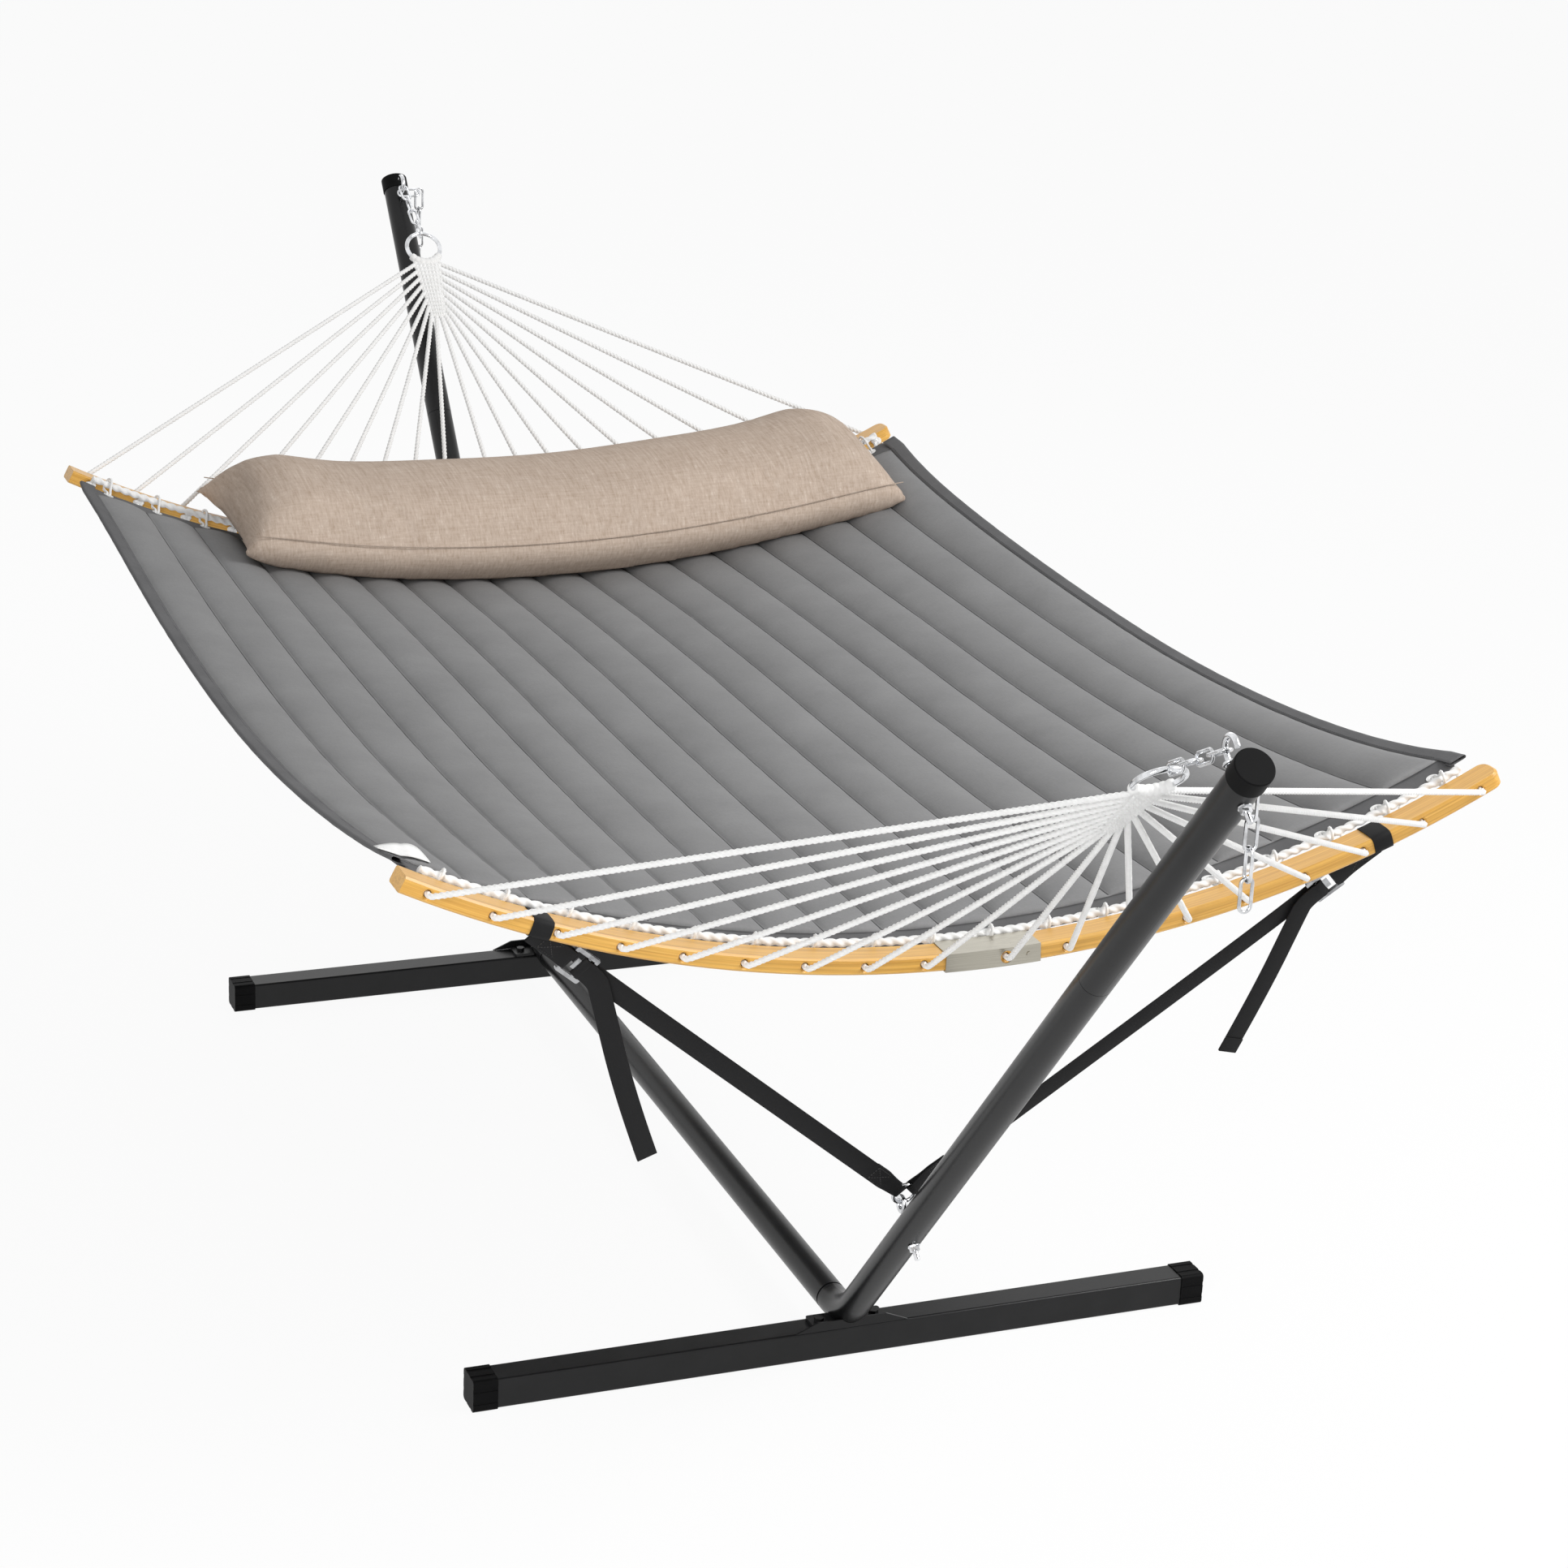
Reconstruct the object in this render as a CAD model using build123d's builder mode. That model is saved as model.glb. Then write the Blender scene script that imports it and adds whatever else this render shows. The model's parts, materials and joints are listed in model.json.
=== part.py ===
from build123d import *

import math
import os

os.makedirs("parts", exist_ok=True)

# Hammock on a steel stand, in millimetres. X runs along the stand with +X at the end that
# carries the two straps, +Y is the right-hand side seen from that end, and Z is up from the floor.

# Clearances shared by the pieces
running_clearance = 0.3
slip_clearance = 0.15

# Feet
foot_half_length = 600.0
foot_spread = 770.0
foot_tube_size = 48.0
foot_tube_wall = 2.0
foot_corner_radius = 4.0
foot_cap_wall = 2.0
foot_cap_length = 38.0
foot_cap_end = 3.0
cap_groove_width = 6.0
cap_groove_depth = 0.8
cap_groove_pitch = 20.0
cheek_thickness = 3.0
cheek_height = 15.0
cheek_base = 184.0
cheek_crest = 112.0

# Saddle tabs that hold each elbow to its foot
saddle_tab_length = 40.0
saddle_tab_width = 40.0
saddle_thickness = 5.0
saddle_overlap = 4.0
bolt_diameter = 8.0
bolt_hole = 8.6
bolt_head_flats = 13.0
bolt_head_height = 5.3
bolt_length = 18.0

# Spine tube and uprights
tube_diameter = 48.0
tube_wall = 2.0
spine_height = 58.0
spine_reveal = 4.0
upright_lean = 49.2
upright_length = 1665.0
section_joint = 1130.0
seam_gap = 0.8
elbow_radius = 120.0
elbow_neck = 6.0
spigot_length = 85.0
shoulder_length = 4.0
top_cap_wall = 1.6
top_cap_skirt = 24.0
top_cap_end = 4.0

# Hooks, nuts and the strap eyebolt
hook_wire = 8.0
hook_along = 1617.0
hook_rise = 46.0
hook_bend = 15.0
hook_lip = 7.0
bolt_tail = 46.0
nut_flats = 13.0
nut_height = 6.5
washer_diameter = 18.0
washer_thickness = 1.6
eyebolt_along = 325.0
eyebolt_wire = 8.0
eye_radius = 11.0
eye_rise = 43.0
anchor_radius = 17.0
anchor_wire = 6.0

# Chain
chain_wire = 4.5
chain_pitch = 39.0
chain_inner_width = 11.0
chain_links = 4
chain_drop = 27.5
tail_links = 5
drape_rise = 34.0

# Hammock rings and clews
ring_radius = 33.5
ring_wire = 8.0
clew_length = 160.0
clew_thickness = 9.0
clew_top_width = 57.0
clew_tip_width = 31.0
clew_wrap = 4.2
clew_wrap_arc = 104.0

# Spreader bars
bar_x = 1128.0
bar_half_length = 811.0
bar_sag = 193.0
bar_depth = 46.0
bar_thickness = 24.0
bar_bevel = 3.0
bar_end_radius = 16.0
bar_joint = 8.0
front_bar_height = 990.0
rear_bar_height = 936.0
hole_diameter = 11.0
countersink = 2.5
holes_per_half = 9
hole_end_margin = 34.0
left_first_hole = 77.0
right_first_hole = 45.0
sleeve_wall = 1.2
sleeve_hole_clearance = 1.2
sleeve_start = -46.0
sleeve_end = 96.0
rivet_y = 78.0
rivet_diameter = 4.0
rivet_head = 7.0
rivet_head_height = 1.4

# Suspension cords, lacing and eyelets
cord_diameter = 7.8
cord_exit = 9.0
cord_bend = 9.0
cord_spacing = 9.2
cord_step = 17.0
cord_sunk = 5.0
tip_cords = 2
knot_radius = 9.0
lacing_diameter = 11.0
lacing_setback = 10.0
lacing_rise = 14.0
loop_diameter = 5.0
eyelet_count = 18
eyelet_margin = 28.0
eyelet_inset = 15.0
eyelet_bore = 9.6
eyelet_barrel = 12.0
eyelet_flange = 19.0
eyelet_flange_thickness = 1.0

# Quilted bed
bed_half_width = 780.0
bed_mid_height = 785.0
bed_mid_radius = 3800.0
bed_channels = 18
bed_hem = 22.0
bed_seam_thickness = 3.0
bed_crown = 9.0
bed_belly = 5.0
lacing_gap = 28.0
band_width = 50.0
band_thickness = 2.5

# Pillow
pillow_front = 780.0
pillow_back = 1165.0
pillow_offset = 77.0
pillow_half_length = 640.0
pillow_end_hollow = 25.0
pillow_thickness = 174.0
pillow_front_edge = 80.0
pillow_back_edge = 60.0
pillow_fullness = 0.4
pillow_sections = 7
pillow_stations = 9
pillow_clearance = 1.0
pillow_bar_rise = 27.0

# Straps
strap_y = 624.0
strap_width = 30.0
strap_thickness = 1.8
strap_foot_width = 20.0
buckle_drop = 92.0
buckle_width = 46.0
buckle_length = 46.0
buckle_thickness = 5.0
buckle_bar = 6.0
roller_diameter = 7.0
roller_drop = 8.0
thumb_tab_length = 15.0
left_tail_length = 388.0
left_tail_hang = 19.0
right_tail_length = 310.0
right_tail_hang = 12.0
tail_lead = 30.0
tail_curve = 13.5

# Sizes worked out from the values above
tube_radius = tube_diameter / 2
spigot_radius = tube_radius - tube_wall - slip_clearance
foot_top = foot_cap_wall + foot_tube_size
foot_centre_z = foot_cap_wall + foot_tube_size / 2
foot_cap_size = foot_tube_size + 2 * foot_cap_wall
foot_tube_half = foot_half_length - foot_cap_end - slip_clearance
lean = math.radians(upright_lean)
elbow_tangent = elbow_radius * math.tan(lean / 2)
elbow_start = foot_spread - elbow_tangent - elbow_neck
spine_half = elbow_start - spine_reveal
along = Vector(math.cos(lean), 0, math.sin(lean))
inward = Vector(-math.sin(lean), 0, math.cos(lean))
across = Vector(0, 1, 0)
corner = Vector(foot_spread, 0, spine_height)
upright_plane = Plane(origin=corner, x_dir=along, z_dir=(0, -1, 0))


def on_upright(distance, rise=0.0):
    """Point at a distance up the front upright's axis, raised towards the hammock."""
    return corner + along * distance + inward * rise


def write(part, name):
    """Label a finished piece and write it."""
    part.label = name
    export_step(part, f"parts/{name}.step")


def group(parts):
    """Several separate solids as one piece."""
    return Compound(children=[solid for part in parts for solid in part.solids()])


def mirrored(part, about):
    """The mirror image of a piece."""
    with BuildPart() as image:
        mirror(part, about=about)
    return image.part


def write_both_ends(part, name):
    """Write a front piece and its mirror image at the rear."""
    write(part, f"front_{name}")
    write(mirrored(part, Plane.YZ), f"rear_{name}")


# Room that the elbow takes where it lies in the foot and its saddle
with BuildPart() as elbow_room:
    with BuildLine(Plane.XZ):
        room_start = (elbow_start - foot_tube_size, spine_height)
        room_end = on_upright(foot_tube_size * 4)
        room_path = FilletPolyline(
            room_start, (foot_spread, spine_height), (room_end.X, room_end.Z), radius=elbow_radius
        )
    with BuildSketch(Plane(origin=room_path @ 0, z_dir=room_path % 0)):
        Circle(tube_radius + running_clearance)
    sweep()

saddle_x = foot_spread - cheek_thickness / 2
saddle_y = tube_radius - saddle_overlap + saddle_tab_length / 2
saddle_bolt_y = saddle_y + saddle_tab_length / 8
saddle_bolt_points = [(saddle_x, -saddle_bolt_y), (saddle_x, saddle_bolt_y)]

with BuildPart() as foot_tube:
    with BuildSketch(Plane.XZ):
        with Locations((foot_spread, foot_centre_z)):
            RectangleRounded(foot_tube_size, foot_tube_size, foot_corner_radius)
            inner_size = foot_tube_size - 2 * foot_tube_wall
            RectangleRounded(
                inner_size, inner_size, foot_corner_radius - foot_tube_wall, mode=Mode.SUBTRACT
            )
    extrude(amount=foot_tube_half, both=True)
    add(elbow_room.part, mode=Mode.SUBTRACT)
    with BuildSketch(Plane.XY.offset(foot_top)):
        with Locations(*saddle_bolt_points):
            Circle(bolt_hole / 2)
    extrude(amount=-foot_corner_radius, mode=Mode.SUBTRACT)
write_both_ends(foot_tube.part, "foot_tube")

with BuildPart() as foot_cap:
    with BuildSketch(Plane.XZ.offset(foot_half_length - foot_cap_length)):
        with Locations((foot_spread, foot_centre_z)):
            RectangleRounded(foot_cap_size, foot_cap_size, foot_corner_radius + foot_cap_wall)
            with PolarLocations(foot_cap_size / 2, 4):
                with Locations((0, -cap_groove_pitch / 2), (0, cap_groove_pitch / 2)):
                    Rectangle(2 * cap_groove_depth, cap_groove_width, mode=Mode.SUBTRACT)
    extrude(amount=foot_cap_length)
    with BuildSketch(Plane.XZ.offset(foot_half_length - foot_cap_length)):
        with Locations((foot_spread, foot_centre_z)):
            socket_size = foot_tube_size + 2 * slip_clearance
            RectangleRounded(socket_size, socket_size, foot_corner_radius + slip_clearance)
    extrude(amount=foot_cap_length - foot_cap_end, mode=Mode.SUBTRACT)
    cap_end_face = faces().sort_by(Axis.Y)[0]
    chamfer(cap_end_face.edges(), cap_groove_depth / 2)
write_both_ends(foot_cap.part, "left_foot_cap")
write_both_ends(mirrored(foot_cap.part, Plane.XZ), "right_foot_cap")

with BuildPart() as cheek_plate:
    with BuildSketch(Plane.YZ.offset(foot_spread + foot_tube_size / 2 - cheek_thickness)):
        with BuildLine():
            Polyline(
                (-cheek_base / 2, foot_top),
                (cheek_base / 2, foot_top),
                (cheek_crest / 2, foot_top + cheek_height),
                (-cheek_crest / 2, foot_top + cheek_height),
                close=True,
            )
        make_face()
    extrude(amount=cheek_thickness)
    add(elbow_room.part, mode=Mode.SUBTRACT)
write_both_ends(cheek_plate.part, "cheek_plate")

with BuildPart() as saddle:
    with BuildSketch(Plane.XY.offset(foot_top)):
        with Locations((saddle_x, -saddle_y), (saddle_x, saddle_y)):
            RectangleRounded(saddle_tab_width, saddle_tab_length, foot_corner_radius)
        with Locations(*saddle_bolt_points):
            Circle(bolt_hole / 2, mode=Mode.SUBTRACT)
    extrude(amount=saddle_thickness)
    add(elbow_room.part, mode=Mode.SUBTRACT)
write_both_ends(saddle.part, "saddle")

with BuildPart() as saddle_bolts:
    bolt_seat = Plane.XY.offset(foot_top + saddle_thickness)
    with BuildSketch(bolt_seat):
        with Locations(*saddle_bolt_points):
            RegularPolygon(bolt_head_flats / 2, 6, major_radius=False)
    extrude(amount=bolt_head_height)
    with BuildSketch(bolt_seat):
        with Locations(*saddle_bolt_points):
            Circle(bolt_diameter / 2)
    extrude(amount=-bolt_length)
    mirror(about=Plane.YZ)
write(saddle_bolts.part, "saddle_bolts")

with BuildPart() as spine_tube:
    with BuildSketch(Plane.YZ):
        with Locations((0, spine_height)):
            Circle(tube_radius)
            Circle(tube_radius - tube_wall, mode=Mode.SUBTRACT)
    extrude(amount=spine_half, both=True)
write(spine_tube.part, "spine_tube")

with BuildPart() as lower_upright:
    with BuildLine(Plane.XZ):
        joint_point = on_upright(section_joint)
        lower_path = FilletPolyline(
            (elbow_start, spine_height),
            (foot_spread, spine_height),
            (joint_point.X, joint_point.Z),
            radius=elbow_radius,
        )
    with BuildSketch(Plane(origin=lower_path @ 0, z_dir=lower_path % 0)):
        Circle(tube_radius)
        Circle(tube_radius - tube_wall, mode=Mode.SUBTRACT)
    sweep()
    with BuildSketch(Plane.YZ.offset(elbow_start)):
        with Locations((0, spine_height)):
            Circle(tube_radius)
            Circle(spigot_radius - tube_wall, mode=Mode.SUBTRACT)
    extrude(amount=shoulder_length)
    with BuildSketch(Plane.YZ.offset(elbow_start)):
        with Locations((0, spine_height)):
            Circle(spigot_radius)
            Circle(spigot_radius - tube_wall, mode=Mode.SUBTRACT)
    extrude(amount=-spigot_length)
write(mirrored(lower_upright.part, Plane.YZ), "rear_lower_upright")

with BuildPart() as front_lower_upright:
    add(lower_upright.part)
    with BuildSketch(Plane(origin=on_upright(eyebolt_along), z_dir=inward)):
        Circle(eyebolt_wire / 2 + running_clearance)
    extrude(amount=tube_diameter, both=True, mode=Mode.SUBTRACT)
write(front_lower_upright.part, "front_lower_upright")

with BuildPart() as upper_upright:
    upper_start = section_joint + seam_gap
    with BuildSketch(Plane(origin=on_upright(upper_start), z_dir=along)):
        Circle(tube_radius)
        Circle(tube_radius - tube_wall, mode=Mode.SUBTRACT)
    extrude(amount=upright_length - upper_start)
    with BuildSketch(Plane(origin=on_upright(upper_start), z_dir=along)):
        Circle(tube_radius)
        Circle(spigot_radius - tube_wall, mode=Mode.SUBTRACT)
    extrude(amount=shoulder_length)
    with BuildSketch(Plane(origin=on_upright(upper_start), z_dir=along)):
        Circle(spigot_radius)
        Circle(spigot_radius - tube_wall, mode=Mode.SUBTRACT)
    extrude(amount=-spigot_length)
    with BuildSketch(Plane(origin=on_upright(hook_along), z_dir=inward)):
        Circle(hook_wire / 2 + running_clearance)
    extrude(amount=tube_diameter, both=True, mode=Mode.SUBTRACT)
write_both_ends(upper_upright.part, "upper_upright")

with BuildPart() as top_cap:
    cap_radius = tube_radius + slip_clearance + top_cap_wall
    with BuildSketch(Plane(origin=on_upright(upright_length), z_dir=along)):
        Circle(cap_radius)
    extrude(amount=top_cap_end)
    cap_rim = edges().sort_by(Axis(on_upright(0), along))[-1]
    fillet(cap_rim, top_cap_wall)
    with BuildSketch(Plane(origin=on_upright(upright_length), z_dir=along)):
        Circle(cap_radius)
        Circle(tube_radius + slip_clearance, mode=Mode.SUBTRACT)
    extrude(amount=-top_cap_skirt)
write_both_ends(top_cap.part, "top_cap")

with BuildPart() as hook:
    with BuildLine(upright_plane):
        far_leg = hook_along + 2 * hook_bend
        shank = Line((hook_along, -bolt_tail), (hook_along, hook_rise))
        ThreePointArc(
            (hook_along, hook_rise),
            (hook_along + hook_bend, hook_rise + hook_bend),
            (far_leg, hook_rise),
        )
        Line((far_leg, hook_rise), (far_leg, hook_rise - hook_lip))
    with BuildSketch(Plane(origin=shank @ 0, z_dir=shank % 0)):
        Circle(hook_wire / 2)
    sweep()
write_both_ends(hook.part, "hook")

with BuildPart() as strap_eyebolt:
    eye_centre = on_upright(eyebolt_along, eye_rise)
    with BuildSketch(Plane(origin=on_upright(eyebolt_along, -bolt_tail), z_dir=inward)):
        Circle(eyebolt_wire / 2)
    extrude(amount=bolt_tail + eye_rise - eye_radius)
    with Locations(Plane(origin=eye_centre, x_dir=along, z_dir=(0, -1, 0))):
        Torus(eye_radius, eyebolt_wire / 2)
write(strap_eyebolt.part, "strap_eyebolt")


def flange_nut(distance, bolt):
    """Nut with its washer on the outer side of the front upright."""
    seat = Plane(origin=on_upright(distance, -tube_radius), z_dir=-inward)
    with BuildPart() as nut:
        with BuildSketch(seat):
            Circle(washer_diameter / 2)
        extrude(amount=washer_thickness)
        with BuildSketch(seat.offset(washer_thickness)):
            RegularPolygon(nut_flats / 2, 6, major_radius=False)
        extrude(amount=nut_height)
        with BuildSketch(seat):
            Circle(bolt / 2 + slip_clearance)
        extrude(amount=washer_thickness + nut_height, mode=Mode.SUBTRACT)
    return nut.part


with BuildPart() as bolt_nuts:
    hook_nut = flange_nut(hook_along, hook_wire)
    add(hook_nut)
    mirror(hook_nut, about=Plane.YZ)
    add(flange_nut(eyebolt_along, eyebolt_wire))
write(bolt_nuts.part, "bolt_nuts")


def chain_link(centre, direction, width_direction):
    """One oval link of round wire."""
    end_radius = (chain_inner_width + chain_wire) / 2
    half_straight = (chain_pitch - chain_inner_width) / 2
    link_plane = Plane(origin=centre, x_dir=direction, z_dir=direction.cross(width_direction))
    with BuildPart() as link:
        with BuildLine(link_plane):
            first_side = Line((-half_straight, end_radius), (half_straight, end_radius))
            ThreePointArc(
                (half_straight, end_radius),
                (half_straight + end_radius, 0),
                (half_straight, -end_radius),
            )
            Line((half_straight, -end_radius), (-half_straight, -end_radius))
            ThreePointArc(
                (-half_straight, -end_radius),
                (-half_straight - end_radius, 0),
                (-half_straight, end_radius),
            )
        with BuildSketch(Plane(origin=first_side @ 0, z_dir=first_side % 0)):
            Circle(chain_wire / 2)
        sweep()
    return link.part


link_step = chain_pitch - running_clearance
hook_hold = chain_pitch / 2 - hook_wire / 2 - running_clearance
tilted_wire = chain_wire / 2 * (math.tan(lean) + 1 / math.cos(lean))
tilt_hold = chain_pitch / 2 - tilted_wire - running_clearance

# One spare link lies over the upright from the hook, and the rest of the spare chain hangs beside it
drape_start = on_upright(hook_along, drape_rise)
with BuildPart() as chain_drape:
    add(chain_link(drape_start + across * hook_hold, across, along))
write_both_ends(chain_drape.part, "chain_drape")

tail_pivot = drape_start + across * (hook_hold + chain_pitch / 2 + chain_wire / 2)
downward = Vector(0, 0, -1)
with BuildPart() as chain_tail:
    for number in range(tail_links):
        centre = tail_pivot + downward * (tilt_hold + number * link_step)
        width = across if number % 2 == 0 else Vector(1, 0, 0)
        add(chain_link(centre, downward, width))
write_both_ends(chain_tail.part, "chain_tail")

# The main chain bears on the hook's bend where its pull is square to the wire
drop = math.radians(chain_drop)
chain_pull = Vector(-math.cos(drop), 0, -math.sin(drop))
hook_centre = on_upright(hook_along + hook_bend, hook_rise)
hook_seat = hook_centre + chain_pull * hook_bend
with BuildPart() as chain:
    for number in range(chain_links):
        centre = hook_seat + chain_pull * (hook_hold + number * link_step)
        width = across if number % 2 == 0 else chain_pull.cross(across)
        add(chain_link(centre, chain_pull, width))
write_both_ends(chain.part, "chain")

ring_hold = chain_pitch / 2 - ring_wire / 2 - running_clearance
ring_top = hook_seat + chain_pull * (hook_hold + (chain_links - 1) * link_step + ring_hold)

# Shape of the spreader bars: arcs that dip in the middle
bar_radius = (bar_half_length**2 + bar_sag**2) / (2 * bar_sag)
bar_inner = bar_x - bar_depth / 2
bar_outer = bar_x + bar_depth / 2
band_outer = bar_inner - lacing_gap
bed_half_span = band_outer - band_width
knot_stand = (knot_radius + running_clearance) * math.sqrt(2) - hole_diameter / 2 - countersink
left_hole_pitch = (bar_half_length - hole_end_margin - left_first_hole) / (holes_per_half - 1)
right_hole_pitch = (bar_half_length - hole_end_margin - right_first_hole) / (holes_per_half - 1)
left_holes = [-left_first_hole - left_hole_pitch * number for number in range(holes_per_half)]
right_holes = [right_first_hole + right_hole_pitch * number for number in range(holes_per_half)]
eyelet_reach = bed_half_width - eyelet_margin
eyelet_pitch = 2 * eyelet_reach / (eyelet_count - 1)


def arc_point(middle_z, y, rise=0.0):
    """Point (y, z) on a bar's arc, raised square to it."""
    angle = math.asin(y / bar_radius)
    reach = bar_radius - rise
    return (reach * math.sin(angle), middle_z + bar_radius - reach * math.cos(angle))


def arc_block(middle_z, near_x, far_x, start_y, end_y, half_thickness):
    """Block that follows a bar's arc from start_y to end_y, between two X values."""
    middle_y = (start_y + end_y) / 2
    with BuildPart() as block:
        with BuildSketch(Plane.YZ.offset(min(near_x, far_x))):
            with BuildLine():
                ThreePointArc(
                    arc_point(middle_z, start_y, -half_thickness),
                    arc_point(middle_z, middle_y, -half_thickness),
                    arc_point(middle_z, end_y, -half_thickness),
                )
                Line(arc_point(middle_z, end_y, -half_thickness), arc_point(middle_z, end_y, half_thickness))
                ThreePointArc(
                    arc_point(middle_z, end_y, half_thickness),
                    arc_point(middle_z, middle_y, half_thickness),
                    arc_point(middle_z, start_y, half_thickness),
                )
                Line(
                    arc_point(middle_z, start_y, half_thickness),
                    arc_point(middle_z, start_y, -half_thickness),
                )
            make_face()
        extrude(amount=abs(far_x - near_x))
    return block.part


def round_edges(part, radius):
    """Circular edges of one radius."""
    circles = part.edges().filter_by(GeomType.CIRCLE)
    return circles.filter_by(lambda edge: abs(edge.radius - radius) < slip_clearance)


def bar_half(side, middle_z, start_y, end_y, holes, rivet):
    """One half of a spreader bar, bevelled, with its cord holes."""
    with BuildPart() as half:
        add(arc_block(middle_z, side * bar_inner, side * bar_outer, start_y, end_y, bar_thickness / 2))
        end_axis = Axis.Y if abs(end_y) > abs(start_y) else -Axis.Y
        end_face = half.faces().filter_by(GeomType.PLANE).sort_by(end_axis)[-1]
        fillet(end_face.edges().filter_by(Axis.X, reverse=True), bar_end_radius)
        chamfer(half.edges().filter_by(GeomType.CIRCLE), bar_bevel)
        with BuildSketch(Plane.YZ.offset(side * bar_x)):
            with Locations(*[arc_point(middle_z, y) for y in holes]):
                Circle(hole_diameter / 2)
        extrude(amount=bar_depth, both=True, mode=Mode.SUBTRACT)
        chamfer(round_edges(half, hole_diameter / 2), countersink)
        if rivet:
            with BuildSketch(Plane.YZ.offset(side * bar_x)):
                with Locations(arc_point(middle_z, rivet_y)):
                    Circle(rivet_diameter / 2 + slip_clearance)
            extrude(amount=bar_depth, both=True, mode=Mode.SUBTRACT)
    return half.part


def bar_sleeve(side, middle_z):
    """Metal sleeve over the joint of the two bar halves."""
    bore = running_clearance
    shell = running_clearance + sleeve_wall
    outer = arc_block(
        middle_z,
        side * (bar_inner - shell),
        side * (bar_outer + shell),
        sleeve_start,
        sleeve_end,
        bar_thickness / 2 + shell,
    )
    inner = arc_block(
        middle_z,
        side * (bar_inner - bore),
        side * (bar_outer + bore),
        sleeve_start - bar_depth,
        sleeve_end + bar_depth,
        bar_thickness / 2 + bore,
    )
    covered = [y for y in left_holes + right_holes if sleeve_start < y < sleeve_end]
    with BuildPart() as sleeve:
        add(outer)
        add(inner, mode=Mode.SUBTRACT)
        with BuildSketch(Plane.YZ.offset(side * bar_x)):
            with Locations(*[arc_point(middle_z, y) for y in covered]):
                Circle(hole_diameter / 2 + countersink + sleeve_hole_clearance)
            with Locations(arc_point(middle_z, rivet_y)):
                Circle(rivet_diameter / 2 + slip_clearance)
        extrude(amount=bar_depth, both=True, mode=Mode.SUBTRACT)
    return sleeve.part


def sleeve_rivet(side, middle_z):
    """Rivet through the sleeve and one bar half."""
    head_x = bar_depth / 2 + running_clearance + sleeve_wall
    with BuildPart() as rivet:
        for face in (-1, 1):
            with BuildSketch(Plane.YZ.offset(side * bar_x + face * head_x)):
                with Locations(arc_point(middle_z, rivet_y)):
                    Circle(rivet_head / 2)
            extrude(amount=face * rivet_head_height)
        with BuildSketch(Plane.YZ.offset(side * bar_x)):
            with Locations(arc_point(middle_z, rivet_y)):
                Circle(rivet_diameter / 2)
        extrude(amount=head_x + rivet_head_height / 2, both=True)
    return rivet.part


def hammock_ring(centre, plane):
    """Ring that gathers the cords of one end."""
    with BuildPart() as ring:
        with Locations(Plane(origin=centre, x_dir=plane.x_dir, z_dir=plane.z_dir)):
            Torus(ring_radius, ring_wire / 2)
    return ring.part


def clew_half_width(distance):
    """Half width of the clew at a distance from the ring's centre."""
    share = (distance - ring_radius) / (clew_length - ring_radius)
    return (clew_top_width + (clew_tip_width - clew_top_width) * share) / 2


def clew_mat(plane):
    """Flat woven mat, wrapped round the ring's wire at its top."""
    wrap_radius = ring_wire / 2 + running_clearance + clew_wrap
    mat_start = ring_radius + ring_wire / 2 + running_clearance + clew_wrap / 3
    with BuildPart() as clew:
        with BuildSketch(plane):
            with BuildLine():
                Polyline(
                    (0, -clew_half_width(0)),
                    (clew_length, -clew_half_width(clew_length)),
                    (clew_length, clew_half_width(clew_length)),
                    (0, clew_half_width(0)),
                    close=True,
                )
            make_face()
            Circle(mat_start, mode=Mode.SUBTRACT)
        extrude(amount=clew_thickness / 2, both=True)
        ring_axis = Axis(plane.origin, plane.z_dir)
        half_turn = math.radians(clew_wrap_arc / 2)
        start_point = plane.from_local_coords(
            (ring_radius * math.cos(half_turn), -ring_radius * math.sin(half_turn))
        )
        start_radial = (Vector(*start_point) - plane.origin).normalized()
        with BuildSketch(Plane(origin=start_point, x_dir=start_radial, z_dir=plane.z_dir.cross(start_radial))):
            Circle(wrap_radius)
            Circle(ring_wire / 2 + running_clearance, mode=Mode.SUBTRACT)
        revolve(axis=ring_axis, revolution_arc=clew_wrap_arc)
    return clew.part


def suspension_cord(side, middle_z, hole_y, number, plane):
    """Cord from the clew through a bar hole to its knot behind the bar."""
    hand = math.copysign(1, hole_y)
    if number < tip_cords:
        leave_at = clew_length
        leave_y = (number + 0.5) * cord_spacing
    else:
        leave_at = clew_length - (number - tip_cords + 1) * cord_step
        leave_y = clew_half_width(leave_at)
    y, z = arc_point(middle_z, hole_y)
    leave = Vector(*plane.from_local_coords((leave_at, hand * leave_y)))
    turn = Vector(side * (bar_outer + cord_exit), y, z)
    knot = Vector(side * (bar_inner - knot_stand), y, z)
    sunk = leave + (leave - turn).normalized() * cord_sunk
    with BuildPart() as cord:
        with BuildLine():
            path = FilletPolyline(knot, turn, sunk, radius=cord_bend)
        with BuildSketch(Plane(origin=path @ 0, z_dir=path % 0)):
            Circle(cord_diameter / 2)
        sweep()
        with Locations(Plane(origin=knot, z_dir=(side, 0, 0))):
            Sphere(knot_radius)
    return cord.part


def eyelet_plane(side, middle_z, y):
    """Plane of one eyelet, square to the end band."""
    angle = math.asin(y / bar_radius)
    spot_y, spot_z = arc_point(middle_z, y)
    spot_x = side * (band_outer - eyelet_inset)
    return Plane(origin=(spot_x, spot_y, spot_z), x_dir=(1, 0, 0), z_dir=(0, -math.sin(angle), math.cos(angle)))


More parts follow.
